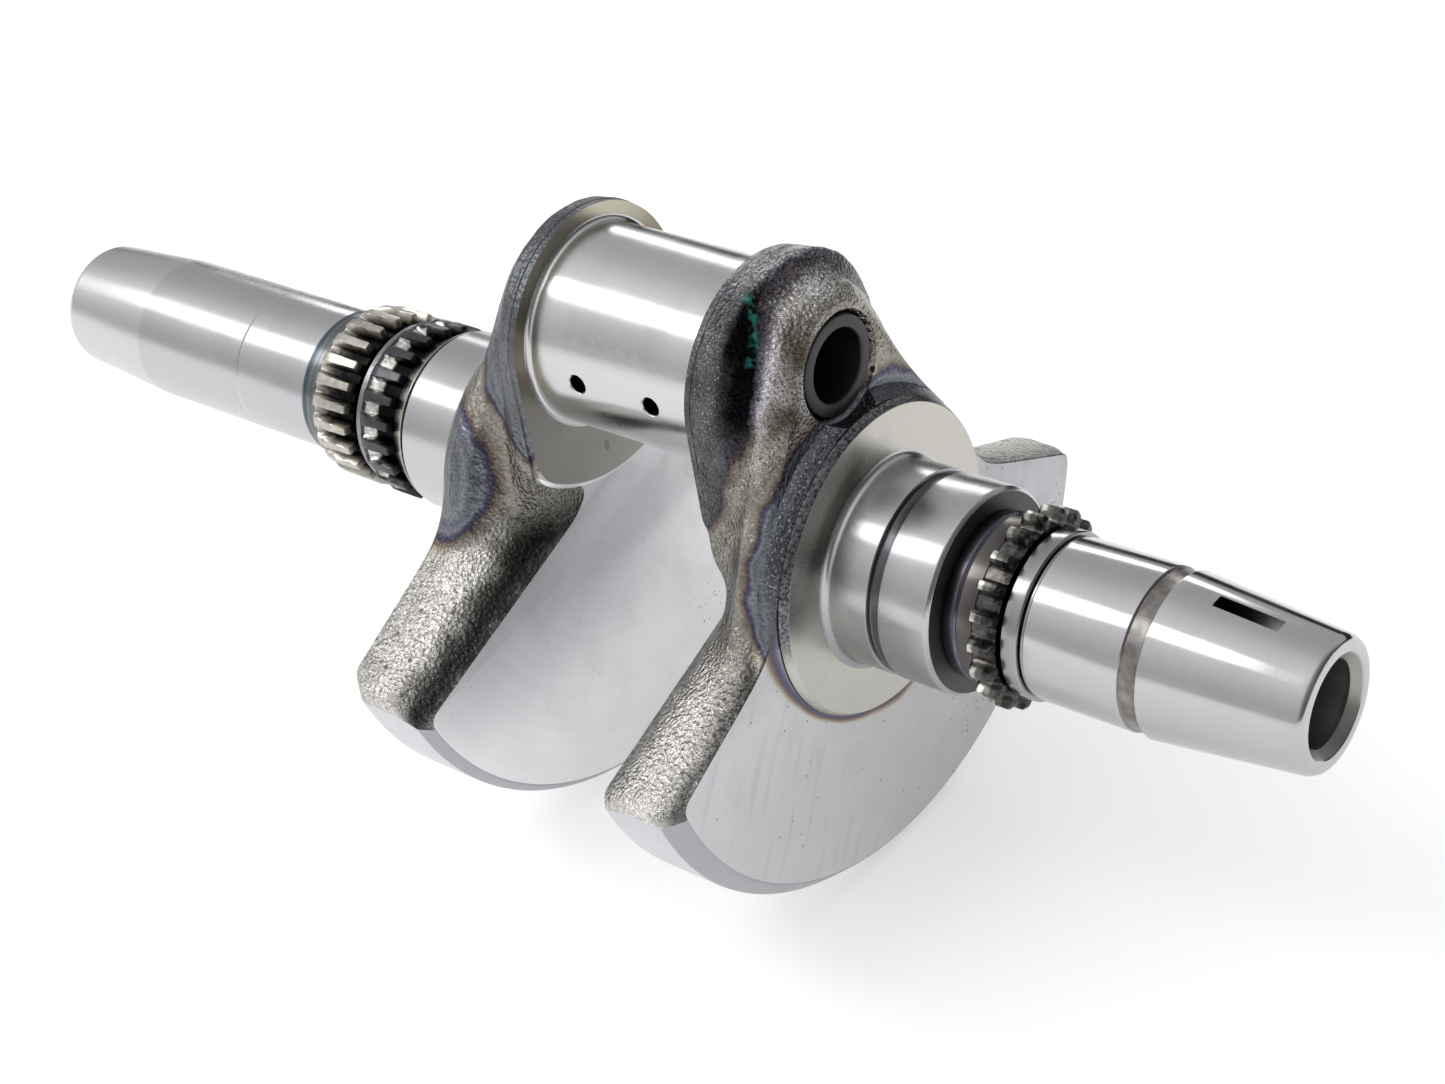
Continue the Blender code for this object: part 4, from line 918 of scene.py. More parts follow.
def turn(name, points, height=AXIS_Z, steps=128):
    """Draw half an outline of (station, radius, rounding) points in millimetres and spin it."""
    spots = [Vector((MIDDLE_X + point[0] * MM, 0.0, height + point[1] * MM)) for point in points]
    piece = start(name, bpy.ops.mesh.primitive_plane_add, size=0.5 * MM, location=spots[0])
    bpy.ops.object.mode_set(mode="EDIT")
    bpy.ops.mesh.select_all(action="SELECT")
    bpy.ops.mesh.merge(type="CENTER")
    for first, second in zip(spots, spots[1:]):
        bpy.ops.mesh.extrude_vertices_move(TRANSFORM_OT_translate={"value": second - first})
    if points[0][1] > 0.0:
        pick(piece, lambda co: min((co - spots[0]).length, (co - spots[-1]).length) < 1e-6)
        bpy.ops.mesh.edge_face_add()
    for size in sorted({point[2] for point in points if len(point) > 2}):
        corners = [spot for spot, point in zip(spots, points) if len(point) > 2 and point[2] == size]
        pick(piece, lambda co: any((co - corner).length < 1e-6 for corner in corners))
        bpy.ops.mesh.bevel(offset=size * MM, offset_type="OFFSET", segments=4, affect="VERTICES")
    bpy.ops.mesh.select_all(action="SELECT")
    bpy.ops.mesh.spin(
        steps=steps, angle=2 * math.pi, center=(MIDDLE_X, 0.0, height), axis=(1.0, 0.0, 0.0),
        use_auto_merge=True,
    )
    close_up(piece)
    return piece


def hollow(start_station, radius, size, side, count=6):
    """Points of a hollow corner that swings from a face at start_station into a cylinder."""
    points = []
    for step in range(count + 1):
        swing = math.pi / 2 * step / count
        points.append(
            (start_station + side * size * (1 - math.cos(swing)), radius + size * (1 - math.sin(swing)))
        )
    return points


def cut(piece, cutter):
    """Take a cutter's shape out of a piece, and throw the cutter away."""
    bpy.ops.object.select_all(action="DESELECT")
    piece.select_set(True)
    bpy.context.view_layer.objects.active = piece
    modifier = piece.modifiers.new("cut", "BOOLEAN")
    modifier.operation = "DIFFERENCE"
    modifier.solver = "EXACT"
    modifier.object = cutter
    bpy.ops.object.modifier_apply(modifier="cut")
    bpy.data.objects.remove(cutter, do_unlink=True)
    bpy.ops.object.shade_smooth_by_angle(angle=math.radians(30.0))


def dress(piece, node, slot, *materials):
    """Give a piece its materials, hang it on the root body and hide the CAD node it stands for."""
    for material in materials:
        piece.data.materials.append(material)
    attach(piece, "root")
    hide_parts(node)
    size = [round(value / MM, 1) for value in piece.dimensions]
    print(node, len(piece.data.polygons), "faces", size, "mm")


SEAM = 0.02
print("lathe ready")

# %% [markdown]
# The left end shaft is a plain ground cylinder with one fine line round it, and beyond that a slim taper
# for the clutch. Its spigot reaches through the whole ring stack into the journal. The right end shaft
# carries the flywheel: cylinder, dark groove, steeper taper with a key slot, and a threaded end bore.

# %% Turn the two end shafts
end, spigot = span("left_stub_shaft")
shoulder = span("left_tinted_collar")[0] - SEAM
left_shaft = turn("left_end_shaft", [
    (spigot, 0.0), (spigot, 10.4), (spigot - 0.6, 11.0), (shoulder, 11.0), (shoulder, 16.5, 0.2),
    (-126.4, 16.5), (-126.7, 16.25), (-127.0, 16.5), (-161.4, 16.5), (end + 1.3, 14.58, 0.5),
    (end, 13.9, 0.4), (end, 9.7), (end + 1.2, 8.5), (end + 45.0, 8.5), (end + 49.25, 0.0),
])
dress(left_shaft, "left_stub_shaft", "ground_steel", left_shaft_steel)

spigot, end = span("right_stub_shaft")
shoulder = span("right_retaining_ring")[1] + SEAM
thread = []
for ring in range(13):
    crest = end - 2.4 - 1.5 * ring
    thread += [(crest, 8.5), (crest - 0.75, 8.7)]
right_shaft = turn("right_end_shaft", [
    (spigot, 0.0), (spigot, 10.4), (spigot + 0.6, 11.0), (shoulder, 11.0), (shoulder, 16.1, 0.2),
    (108.1, 16.1, 0.12), (108.4, 15.62, 0.1), (111.75, 15.62, 0.1), (112.05, 16.28, 0.2),
    (end - 1.25, 13.32, 0.7), (end, 12.45, 0.5), (end, 10.3, 0.15), (end - 1.9, 8.5),
    *thread, (end - 45.0, 8.5), (end - 49.25, 0.0),
], steps=160)
slot_place = (MIDDLE_X + 126.7 * MM, 0.0, AXIS_Z + 14.86 * MM)
slot_cutter = start(
    "slot_cutter", bpy.ops.mesh.primitive_cube_add, size=1.0, location=slot_place,
    scale=(0.013, 0.0032, 0.006),
)
cut(right_shaft, slot_cutter)
dress(right_shaft, "right_stub_shaft", "ground_steel", right_shaft_steel)

# %% [markdown]
# The main journals run in the crankcase bearings. At the web each one ends in a hollow fillet, because a
# sharp corner would start a crack, and that fillet shows as a bright thin line. The right journal also
# has an oil groove. Behind each journal sits a raised satin disc, the thrust face of the web.

# %% Turn the journals and the thrust discs
def journal(name, node, radius, side, groove=()):
    spigot, face = sorted(abs(station) for station in span(node))
    root = side * 46.05
    flare = hollow(root + side * SEAM, radius, 1.5, side)
    points = [
        (side * spigot, 0.0), (side * spigot, 15.3), (side * (spigot + 0.6), 15.9),
        (root + side * SEAM, 15.9),
    ]
    points += flare + list(groove)
    points += [
        (side * (face - 0.75), radius, 0.25), (side * face, radius - 0.75, 0.2), (side * face, 11.3),
        (side * 50.75, 11.3), (side * 50.75, 0.0),
    ]
    return turn(name, points, steps=160)


GROOVE = [(55.85, 21.0, 0.1), (56.15, 19.8, 0.3), (58.45, 19.8, 0.3), (58.75, 21.0, 0.1)]
left_journal = journal("left_journal", "left_main_journal", 20.1, -1)
dress(left_journal, "left_main_journal", "ground_steel", ground)
right_journal = journal("right_journal", "right_main_journal", 21.0, 1, GROOVE)
dress(right_journal, "right_main_journal", "ground_steel", groove_steel)

for side in ("left", "right"):
    root, face = sorted(span(side + "_thrust_ring"), key=abs)
    lip, hide = math.copysign(0.15, face), (1.0 if face < 0.0 else 0.0)
    disc = turn(side + "_thrust_disc", [
        (root, 16.2), (root, 32.9 - hide), (face - lip, 32.05 - hide), (face, 31.85 - hide), (face, 16.2),
    ], steps=192)
    dress(disc, side + "_thrust_ring", "machined_steel", satin)

# %% [markdown]
# The rings between the journals and the end shafts are narrow turned parts. Some are plain, one is a
# cone that leads up to the journal, and the step collar has a fine V line in its middle. Small roundings
# on the outer edges catch the light the way real edges do.

# %% Turn the plain rings
TOOTH_SHIFT = 0.8


def ring(name, node, radius, bore, edges, start_shift=0.0, end_shift=0.0):
    """A plain ring that fills a node's stations, with two rounded outer edges."""
    low, high = (station + shift for station, shift in zip(span(node), (start_shift, end_shift)))
    low += SEAM if low > 0.0 else 0.0
    high -= SEAM if high < 0.0 else 0.0
    return turn(name, [(low, bore), (low, radius, edges), (high, radius, edges), (high, bore)], steps=160)


low, high = span("left_shoulder_ring")
cone = turn(
    "left_cone_ring", [(high - SEAM, 11.3), (high - SEAM, 19.8, 0.15), (low, 18.1, 0.15), (low, 11.3)],
    steps=160,
)
dress(cone, "left_shoulder_ring", "ground_steel", shoulder_steel)
low, high = span("right_step_collar")
middle = (low + high) / 2
high += TOOTH_SHIFT
step = turn("right_step_ring", [
    (low, 11.3), (low, 16.6, 0.3), (middle - 0.45, 16.95, 0.1), (middle, 16.6), (middle + 0.45, 17.0, 0.1),
    (high, 17.0, 0.15), (high, 11.3),
], steps=160)
dress(step, "right_step_collar", "tinted_steel", step_steel)
for node, radius, slot, material, edges, *shifts in (
    ("left_tinted_collar", 17.05, "tinted_steel", collar_steel, 0.2),
    ("left_spacer_ring", 16.0, "dark_steel", spacer_shade_steel, 0.2),
    ("right_spacer_ring", 15.3, "dark_steel", spacer_shade_steel, 0.2, TOOTH_SHIFT, -0.9),
    ("right_locating_collar", 16.8, "ground_steel", collar_grey, 0.45, -0.9, 0.0),
    ("right_retaining_ring", 15.9, "ground_steel", collar_grey, 0.2),
):
    dress(ring(node + "_fine", node, radius, 11.3, edges, *shifts), node, slot, material)

# %% [markdown]
# The toothed rings drive the oil pump and the camshafts. Their teeth all look alike, so one tooth is
# shaped as a small grid and copied round the axis with Spin. The grid's columns go across a tooth and
# its rows go along the shaft: up one side face, over the tooth, down the other side and back through the
# bore. Where a cutter ran out, the gap floor climbs to the tooth tops.

# %% Shape one tooth and spin it
ACROSS = (-0.5, -0.42, -0.355, -0.33, -0.30, -0.235, -0.19, -0.165, -0.13, 0.0)
ACROSS += tuple(-share for share in reversed(ACROSS[:-1]))


def tooth_height(share, top, foot):
    """How far up the tooth a point lies, 1 on its top and 0 in the gap, with eased corners."""
    slope = (foot - abs(share)) / (foot - top)
    slope = min(1.0, max(0.0, slope))
    return slope * slope * (3 - 2 * slope) * 0.35 + slope * 0.65


def toothed_ring(name, teeth, lead, rows, bore=11.3):
    """One tooth from rows of (station, gap radius, tip radius, half top, half foot), copied round."""
    loop = [
        (rows[0][0], bore, bore, 0.1, 0.3), *rows, (rows[-1][0], bore, bore, 0.1, 0.3),
        (rows[0][0], bore, bore, 0.1, 0.3),
    ]
    columns = len(ACROSS)
    piece = start(
        name, bpy.ops.mesh.primitive_grid_add, x_subdivisions=columns - 1, y_subdivisions=len(loop) - 1,
        size=1.0,
    )
    for point in piece.data.vertices:
        column = round((point.co.x + 0.5) * (columns - 1))
        station, gap, tip, top, foot = loop[round((point.co.y + 0.5) * (len(loop) - 1))]
        share = ACROSS[column]
        radius = gap + (tip - gap) * tooth_height(share, top, foot)
        angle = math.radians(lead) + 2 * math.pi * share / teeth
        point.co = (
            MIDDLE_X + station * MM, radius * MM * math.cos(angle), AXIS_Z + radius * MM * math.sin(angle),
        )
    bpy.ops.object.mode_set(mode="EDIT")
    bpy.ops.mesh.select_all(action="SELECT")
    bpy.ops.mesh.spin(
        steps=teeth - 1, dupli=True, angle=2 * math.pi * (teeth - 1) / teeth,
        center=(MIDDLE_X, 0.0, AXIS_Z), axis=(1.0, 0.0, 0.0),
    )
    close_up(piece, 35.0)
    return piece


far, near = span("left_outer_sprocket")
rows = [
    (near - SEAM, 16.9, 19.0, 0.15, 0.26), (near - 0.3, 16.9, 19.7, 0.16, 0.27),
    (near - 0.8, 16.9, 19.9, 0.17, 0.28),
    (near - 3.4, 16.9, 19.9, 0.18, 0.29), (near - 4.6, 16.9, 19.9, 0.19, 0.30),
    (near - 5.8, 17.1, 19.9, 0.20, 0.31),
    (near - 7.2, 17.5, 19.9, 0.21, 0.33), (near - 8.6, 18.0, 19.85, 0.22, 0.35),
    (near - 9.8, 18.5, 19.7, 0.22, 0.37),
    (near - 10.6, 18.6, 19.3, 0.22, 0.38), (near - 11.3, 17.9, 18.1, 0.22, 0.40),
    (far, 17.2, 17.2, 0.22, 0.44),
]
outer_row = toothed_ring("left_outer_teeth", 24, 6.6, rows)
dress(outer_row, "left_outer_sprocket", "tooth_steel", cream_teeth)
far, near = span("left_inner_sprocket")
rows = [
    (near - SEAM, 17.1, 19.3, 0.15, 0.27), (near - 0.35, 17.1, 19.85, 0.16, 0.28),
    (near - 0.8, 17.1, 20.0, 0.17, 0.28),
    (near - 3.6, 17.1, 20.0, 0.18, 0.29), (near - 4.6, 17.5, 20.0, 0.19, 0.30),
    (near - 6.2, 18.3, 20.0, 0.20, 0.31),
    (near - 7.6, 18.75, 19.95, 0.20, 0.32), (near - 8.6, 18.9, 19.6, 0.20, 0.32),
    (near - 9.4, 18.8, 18.95, 0.2, 0.3),
    (near - 9.6, 18.6, 18.65, 0.2, 0.3), (near - 10.9, 18.6, 18.6, 0.2, 0.3),
    (far + 0.15, 18.45, 18.45, 0.2, 0.3),
    (far, 18.2, 18.2, 0.2, 0.3),
]
inner_row = toothed_ring("left_inner_teeth", 22, 11.2, rows)
dress(inner_row, "left_inner_sprocket", "dark_steel", dark_teeth)
near, far = (station + TOOTH_SHIFT for station in span("right_sprocket"))
rows = [
    (near, 17.2, 18.6, 0.11, 0.25), (near + 0.35, 17.2, 19.6, 0.12, 0.26),
    (near + 0.8, 17.2, 20.0, 0.12, 0.26),
    (far - 0.8, 17.2, 20.0, 0.12, 0.26), (far - 0.35, 17.2, 19.6, 0.12, 0.26), (far, 17.2, 19.0, 0.11, 0.25),
]
right_row = toothed_ring("right_teeth", 20, 8.7, rows)
dress(right_row, "right_sprocket", "dark_steel", right_teeth)

# %% [markdown]
# The crankpin carries both connecting rods side by side. It is ground like the journals, ends in the
# same bright fillets, and is bored from the right to lighten it and to hold oil. Two small holes lead the
# oil out to the rods. A cup plug of dark steel closes the bore in the right web.

# %% Turn, bore and drill the crankpin
low, high = span("crankpin")
pin = turn("crankpin_fine", [
    (low, 0.0), (low, 10.4), (low + 0.6, 10.99), (-21.83, 10.99),
    *hollow(-21.83, 20.9, 1.2, 1), *reversed(hollow(21.83, 20.9, 1.2, -1)),
    (21.83, 18.0), (high - 0.6, 18.0), (high, 17.4), (high, 0.0),
], PIN_Z, steps=192)


def rod(name, first, last, radius, height):
    """A round cutter along the shaft."""
    return start(
        name, bpy.ops.mesh.primitive_cylinder_add, vertices=96, radius=radius * MM,
        depth=abs(last - first) * MM,
        location=(MIDDLE_X + (first + last) / 2 * MM, 0.0, height), rotation=(0.0, math.pi / 2, 0.0),
    )


cut(pin, rod("bore_cutter", -14.55, high + 0.5, 10.5, PLUG_Z))
for station in (-9.45, 9.45):
    lean = math.pi / 2 + math.radians(2.0)
    place = (MIDDLE_X + station * MM, -20.9 * MM, PIN_Z)
    cut(pin, start(
        "drill", bpy.ops.mesh.primitive_cylinder_add, vertices=48, radius=2.0 * MM, depth=31.0 * MM,
        location=place, rotation=(lean, 0.0, 0.0),
    ))
    cut(pin, start(
        "countersink", bpy.ops.mesh.primitive_cone_add, vertices=48, radius1=3.3 * MM, radius2=1.3 * MM,
        depth=2.0 * MM, location=place, rotation=(-lean, 0.0, 0.0),
    ))
dress(pin, "crankpin", "ground_steel", pin_steel)

low, high = span("pin_plug")
plug = turn("cup_plug", [
    (low, 0.0), (low, 10.2, 0.4), (high, 10.2, 0.35), (high, 7.4, 0.5), (low + 1.5, 7.4, 0.6),
    (low + 1.5, 0.0),
], PLUG_Z)
dress(plug, "pin_plug", "dark_steel", plug_steel)

# %% [markdown]
# Each web is one forging: a lobe round the crankpin, a neck round the main axis and a counterweight on
# the far side. A section across it is lobe, waist, neck, flank and rim, and all of these change slowly
# through its thickness. So a ring of points is extruded in many thin steps, and every point is then put
# on the outline of its own depth. A displace modifier roughens the forged skin, but not the machined faces.

# %% Sections of a web
THICK = 20.85
ROLL_DEPTH = 6.0
NECKS = (
    (0.0, 26.8), (3.0, 27.0), (6.0, 28.3), (9.5, 32.6), (12.8, 35.6), (15.0, 35.4), (17.3, 34.9),
    (19.0, 34.1), (20.85, 32.95),
)
WAISTS = ((0.0, 0.0), (2.3, 0.1), (6.0, 1.2), (12.8, 2.4), (17.3, 2.4), (17.7, 0.0), (20.85, 0.0))
LEFT_LOBE = (
    (0.0, 37.5, 25.1), (2.5, 37.6, 25.0), (4.5, 37.7, 23.8), (7.0, 37.7, 20.8), (12.0, 37.6, 15.2),
    (17.3, 37.5, 9.7),
)
RIGHT_LOBE = (
    (0.0, 37.5, 25.1), (4.0, 38.2, 25.15), (6.0, 38.5, 25.05), (7.0, 38.65, 24.55), (8.0, 38.9, 23.3),
    (9.0, 39.3, 21.7),
    (10.0, 39.65, 20.4), (11.0, 39.95, 19.6), (12.0, 40.25, 19.0), (12.8, 40.5, 18.5), (13.6, 40.9, 17.9),
    (14.4, 41.4, 17.1), (15.2, 41.9, 16.1), (16.0, 42.5, 14.9), (16.8, 43.0, 13.7), (17.3, 43.2, 12.7),
)


def follow(table, at, column=1):
    """A smooth value from a table, without overshoot between its rows."""
    places = [row[0] for row in table]
    values = [row[column] for row in table]
    if at <= places[0] or at >= places[-1]:
        return values[0] if at <= places[0] else values[-1]
    index = max(i for i, place in enumerate(places) if place <= at)
    rises = [(b - a) / (d - c) for a, b, c, d in zip(values, values[1:], places, places[1:])]

    def lean(i):
        if i == 0 or i == len(rises):
            return rises[min(i, len(rises) - 1)]
        before, after = rises[i - 1], rises[i]
        return 0.0 if before * after <= 0.0 else 2 * before * after / (before + after)

    step = places[index + 1] - places[index]
    t = (at - places[index]) / step
    straight = values[index] + (values[index + 1] - values[index]) * t
    bow = t * (1 - t) * step * ((lean(index) - rises[index]) * (1 - t) - (lean(index + 1) - rises[index]) * t)
    return straight + bow


def soft(value, ease=0.25):
    """Zero below zero and rising above it, with a rounded corner."""
    return (value + math.sqrt(value * value + ease * ease)) / 2 - ease / 2


def rim_radius(depth):
    """Radius of the counterweight's rim, with its two chamfers."""
    outer = soft(depth - (THICK - 4.05)) * 3.5 / 4.05
    inner = soft(2.3 - depth) * 2.0 / 2.3
    return 71.55 - outer - inner


print("rim radius", round(rim_radius(0.0), 2), "to", round(rim_radius(10.0), 2))

# %% Curves and flanks of the outline
def curve(first, corner, last, count):
    """Points from first towards last that lean on a corner, without the two ends."""
    points = []
    for step in range(1, count + 1):
        t = step / (count + 1)
        points.append(
            tuple((1 - t) ** 2 * a + 2 * t * (1 - t) * b + t * t * c for a, b, c in zip(first, corner, last))
        )
    return points


def flank_meets(height, slope, radius):
    """Where a counterweight's flank meets a circle about the main axis."""
    square = 1 + slope * slope
    y = (
        height * slope + math.sqrt((height * slope) ** 2 - square * (height * height - radius * radius))
    ) / square
    return y, height - slope * y


def relax(points, passes):
    """Space points evenly along their line and ease its corners, with both ends held."""
    reach = [0.0]
    for first, second in zip(points, points[1:]):
        reach.append(reach[-1] + math.dist(first, second))
    even = []
    for step in range(len(points)):
        at = reach[-1] * step / (len(points) - 1)
        spot = min(max(i for i, length in enumerate(reach) if length <= at + 1e-9), len(points) - 2)
        share = (at - reach[spot]) / max(reach[spot + 1] - reach[spot], 1e-9)
        even.append(tuple(a + (b - a) * share for a, b in zip(points[spot], points[spot + 1])))
    for _ in range(passes):
        inner = [
            tuple((a + 2 * b + c) / 4 for a, b, c in zip(*trio)) for trio in zip(even, even[1:], even[2:])
        ]
        even = even[:1] + inner + even[-1:]
    return even


print("a flank meets the rim at", [round(v, 2) for v in flank_meets(17.6, 0.5, 71.55)])

# %% The whole outline at a depth
def face_outline(height, slope):
    """Half of the outline in the machined inner face: lobe, straight side, arc under the plate, nose."""
    half = []
    for step in range(44):
        angle = math.pi / 2 * (1 - step / 43)
        half.append((25.1 * math.cos(angle), 37.5 + 25.1 * math.sin(angle)))
    corner = (25.1, 37.5 - math.sqrt(35.6 ** 2 - 25.1 ** 2))
    half += [tuple(a + (b - a) * step / 19 for a, b in zip((25.1, 37.5), corner)) for step in range(1, 19)]
    for step in range(16):
        angle = math.atan2(corner[1] - 37.5, corner[0])
        angle += (math.atan2(-33.0, 13.6) - angle) * step / 15
        half.append((35.6 * math.cos(angle), 37.5 + 35.6 * math.sin(angle)))
    return half + curve(half[-1], (10.6, 1.6), (17.5, height - slope * 17.5), 26)


def section(depth, lobe):
    """Outline of a web at a depth, as (y, z) points in millimetres about the main axis."""
    neck, waist, rim = follow(NECKS, depth), follow(WAISTS, depth), rim_radius(depth)
    top, radius = follow(lobe, depth, 1), follow(lobe, depth, 2)
    if depth > 17.5:
        top, radius = neck / 2, neck / 2 + 0.9
    inward = 1 - depth / THICK
    height = 17.6 + (4.4 - 17.6) * inward ** 3
    slope = 0.5 + (0.368 - 0.5) * inward ** 2
    lean = math.asin((neck - radius) / top)
    half = []
    for step in range(44):
        angle = math.pi / 2 + (lean - math.pi / 2) * step / 43
        half.append((radius * math.cos(angle), top + radius * math.sin(angle)))
    root = flank_meets(height, slope, neck)
    root_angle = math.atan2(root[1], root[0])
    leave = root_angle + min(math.radians(14.0), 0.6 * (lean - root_angle))
    joint = (neck * math.cos(lean), neck * math.sin(lean))
    middle = [(a + b) / 2 - waist * c for a, b, c in zip(half[-1], joint, (math.cos(lean), math.sin(lean)))]
    half += curve(half[-1], middle, joint, 18)
    for step in range(16):
        angle = lean + (leave - lean) * step / 15
        half.append((neck * math.cos(angle), neck * math.sin(angle)))
    run = math.hypot(1.0, slope)
    along = (1.0 / run, -slope / run)
    foot = tuple(place + 9.0 * part for place, part in zip(root, along))
    half += curve(half[-1], root, foot, 26)
    if depth < ROLL_DEPTH:
        rolled = face_outline(height, slope)
        reach = math.sqrt(1 - (1 - depth / ROLL_DEPTH) ** 2)
        half = [tuple(a + (b - a) * reach for a, b in zip(*pair)) for pair in zip(rolled, half)]
        foot = tuple(a + (b - a) * reach for a, b in zip((17.5, height - slope * 17.5), foot))
    tip = flank_meets(height, slope, rim)
    brow = tuple(place - 3.0 * part for place, part in zip(tip, along))
    for step in range(40):
        half.append(tuple(a + (b - a) * step / 39 for a, b in zip(foot, brow)))
    half[26:116] = relax(half[26:116], round(60 * min(1.0, depth / 2.5)))
    rim_start = math.atan2(tip[1], tip[0]) - 3.0 / rim
    half += curve(brow, tip, (rim * math.cos(rim_start), rim * math.sin(rim_start)), 12)
    for step in range(70):
        angle = rim_start + (-math.pi / 2 - rim_start) * step / 69
        half.append((rim * math.cos(angle), max(rim * math.sin(angle), 0.004 - AXIS_Z / MM)))
    half = [(min(y, 69.05), z) for y, z in half]
    return half + [(-y, z) for y, z in reversed(half[1:-1])]


def inset(outline, distance, outer):
    """Draw an outline in by a distance, but not where the thrust disc carries on."""
    points = []
    for before, here, after in zip(outline[-1:] + outline[:-1], outline, outline[1:] + outline[:1]):
        across = Vector((after[1] - before[1], before[0] - after[0])).normalized()
        across *= distance * (min(1.0, max(0.0, (math.hypot(*here) - 34.0) / 4.0)) if outer else 1.0)
        points.append((here[0] + across.x, here[1] + across.y))
    return points


example = section(6.0, RIGHT_LOBE)
print("section of", len(example), "points, top", round(max(z for _, z in example), 2))

# %% Extrude the webs and put every point on its section
EDGE = ((0.0, 0.30), (0.06, 0.17), (0.16, 0.06), (0.30, 0.0))
INNER_STEPS = [0.0, 0.06, 0.16, 0.30, 0.6, 1.0, 1.4, 1.8, 2.1, 2.3, 2.5, 2.8]
MIDDLE_STEPS = [3.2 + 0.4 * step for step in range(33)]
OUTER_STEPS = [16.4, 16.6, 16.8, 17.0, 17.15, 17.25, 17.3, 17.6, 17.9, 18.2, 18.6, 19.0, 19.4, 20.0]
OUTER_STEPS += [20.55, 20.69, 20.79, 20.85]
DEPTHS = [depth for depth in INNER_STEPS + MIDDLE_STEPS if depth < 16.3] + OUTER_STEPS
forging = bpy.data.textures.new("forging", "CLOUDS")
forging.noise_scale = 3.5 * MM
forging.noise_depth = 3


RIM_STEP = 44 + 18 + 16 + 26 + 40 + 12


def web(name, side, lobe, *materials):
    """One forged web, with forged skin, machined faces and rim on three material slots."""
    face_x = MIDDLE_X + side * 23.2 * MM
    outlines = []
    for depth in DEPTHS:
        outline = section(depth, lobe)
        draw_in = follow(EDGE, depth) + follow(EDGE, THICK - depth)
        outlines.append(inset(outline, draw_in, depth > 10.0) if draw_in > 0.0 else outline)
    count = len(outlines[0])
    piece = start(
        name, bpy.ops.mesh.primitive_circle_add, vertices=count, radius=0.05,
        location=(face_x, 0.0, AXIS_Z), rotation=(0.0, math.pi / 2, 0.0),
    )
    for material in materials:
        piece.data.materials.append(material)
    bpy.ops.object.mode_set(mode="EDIT")
    bpy.ops.mesh.select_all(action="SELECT")
    for _ in DEPTHS[1:]:
        bpy.ops.mesh.extrude_edges_move(TRANSFORM_OT_translate={"value": (side * MM, 0.0, 0.0)})
    bpy.ops.object.mode_set(mode="OBJECT")
    group = piece.vertex_groups.new(name="forged_skin")
    steps_round = []
    for point in piece.data.vertices:
        layer = round(abs(point.co.x - face_x) / MM)
        angle = math.pi / 2 - math.atan2(point.co.z - AXIS_Z, point.co.y)
        step = round(angle / (2 * math.pi) * count) % count
        y, z = outlines[layer][step]
        depth = DEPTHS[layer]
        point.co = (face_x + side * depth * MM, y * MM, AXIS_Z + z * MM)
        steps_round.append(min(step, count - step))
        last = 20.2 if z < 14.0 else 16.6
        weight = min(1.0, depth - 0.6, (last - depth) / 1.5, (rim_radius(depth) - math.hypot(y, z)) / 2)
        if weight > 0.0:
            group.add([point.index], weight, "REPLACE")
    for face in piece.data.polygons:
        face.material_index = 2 if min(steps_round[corner] for corner in face.vertices) >= RIM_STEP else 0
    bpy.ops.object.mode_set(mode="EDIT")
    for end in (face_x, face_x + side * THICK * MM):
        pick(piece, lambda co: abs(co.x - end) < 1e-6)
        bpy.ops.mesh.edge_face_add()
    bpy.ops.mesh.select_all(action="SELECT")
    bpy.ops.mesh.normals_make_consistent(inside=False)
    bpy.ops.object.mode_set(mode="OBJECT")
    for face in piece.data.polygons:
        if len(face.vertices) > 4:
            face.material_index = 1
    uneven = piece.modifiers.new("uneven", "DISPLACE")
    uneven.texture = forging
    uneven.texture_coords = "LOCAL"
    uneven.vertex_group = "forged_skin"
    uneven.mid_level = 0.0
    uneven.strength = -0.45 * MM
    bpy.ops.object.modifier_apply(modifier="uneven")
    return piece


left_web = web("left_web_fine", -1, LEFT_LOBE, forged_left, face_left, rim_steel)
cut(left_web, rod("socket", -22.9, -34.0, 11.3, PIN_Z))
cut(left_web, rod("socket", -28.2, -44.6, 16.2, AXIS_Z))
dress(left_web, "left_web", "forged_steel")
right_web = web("right_web_fine", 1, RIGHT_LOBE, forged_right, face_right, rim_steel)
cut(right_web, rod("socket", 22.9, 33.3, 18.3, PIN_Z))
cut(right_web, rod("socket", 28.2, 44.6, 16.2, AXIS_Z))
cut(
    right_web,
    turn(
        "socket", [(33.0, 0.0), (33.0, 10.5), (39.5, 10.5), (40.5, 11.3), (46.0, 11.3), (46.0, 0.0)],
        PLUG_Z,
    ),
)
dress(right_web, "right_web", "forged_steel")

# %% [markdown]
# Round the crankpin each web has a thin raised plate, machined flat so that the rods can slide against
# it. It follows the lobe above and widens below it, and its edge is chamfered. The bottom arc of that
# chamfer is the bright crescent under the crankpin; on the left plate that brightness is a painted highlight.

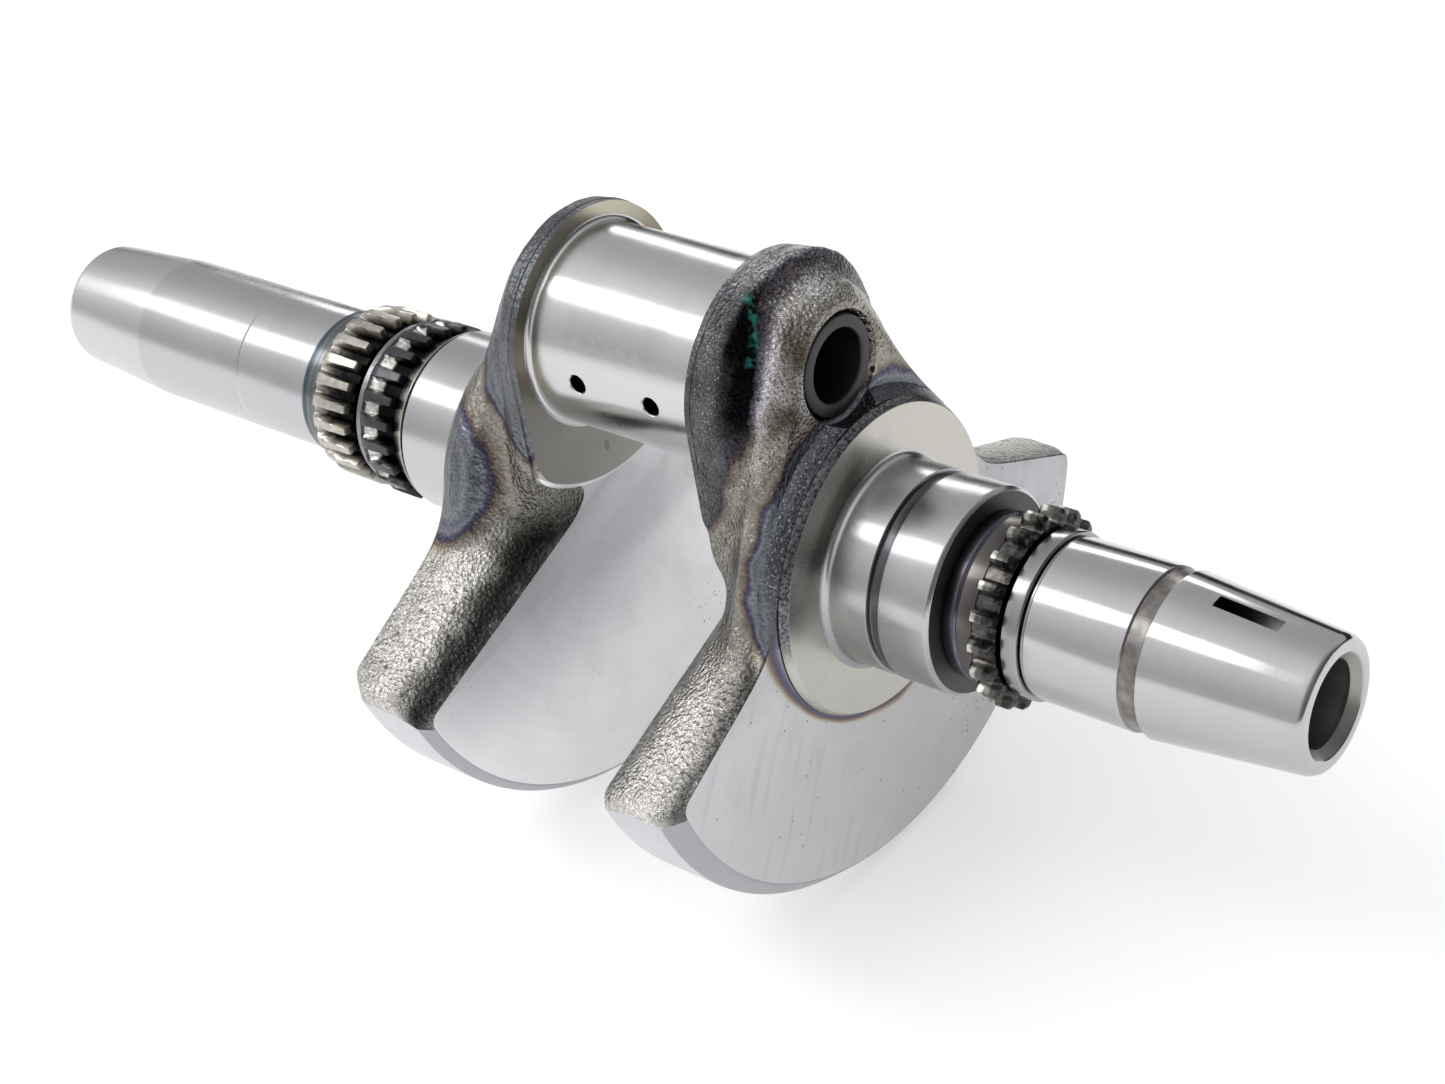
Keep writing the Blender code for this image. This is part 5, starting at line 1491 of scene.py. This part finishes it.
# %% Make the two plates round the crankpin
def plate(name, side, hole):
    """A raised plate: rows of (station, edge pulled in) from the web to the face, then the hole."""
    rows = [(23.18, 0.0), (22.75, 0.0), (22.55, 0.2), (21.85, 1.0)]
    count = 256
    piece = start(
        name, bpy.ops.mesh.primitive_circle_add, vertices=count, radius=0.05,
        location=(0.0, 0.0, PIN_Z), rotation=(0.0, math.pi / 2, 0.0),
    )
    bpy.ops.object.mode_set(mode="EDIT")
    bpy.ops.mesh.select_all(action="SELECT")
    for _ in range(len(rows) + 1):
        bpy.ops.mesh.extrude_edges_move(TRANSFORM_OT_translate={"value": (MM, 0.0, 0.0)})
    bpy.ops.object.mode_set(mode="OBJECT")
    loop = [(rows[0][0], None), *rows, (rows[-1][0], None)]
    for point in piece.data.vertices:
        station, pull = loop[round(point.co.x / MM)]
        angle = math.atan2(point.co.z - PIN_Z, point.co.y)
        reach, bottom = 24.95, 0.0
        if math.sin(angle) < 0.0:
            reach = ((abs(math.cos(angle)) / 24.95) ** 24 + (1 / 35.5) ** 24) ** (-1 / 24)
            bottom = min(1.0, max(0.0, (reach - 32.0) / 3.0))
        radius = hole if pull is None else reach - pull * (0.08 + 0.92 * bottom)
        spot = (radius * MM * math.cos(angle), PIN_Z + radius * MM * math.sin(angle))
        point.co = (MIDDLE_X + side * station * MM, *spot)
    bpy.ops.object.mode_set(mode="EDIT")
    bpy.ops.mesh.select_all(action="DESELECT")
    pick(piece, lambda co: abs(math.hypot(co.y, co.z - PIN_Z) - hole * MM) < 1e-6)
    bpy.ops.mesh.bridge_edge_loops()
    close_up(piece)
    for face in piece.data.polygons:
        low_edge = face.center.z < PIN_Z - 22.0 * MM
        face.material_index = 1 if abs(face.normal.x) < 0.9 and not low_edge else 0
    return piece


left_plate = plate("left_plate", -1, 11.3)
dress(left_plate, "left_pin_thrust_plate", "machined_steel", left_plate_steel, forged_left)
right_plate = plate("right_plate", 1, 18.3)
dress(right_plate, "right_pin_thrust_plate", "machined_steel", right_plate_steel, forged_right)
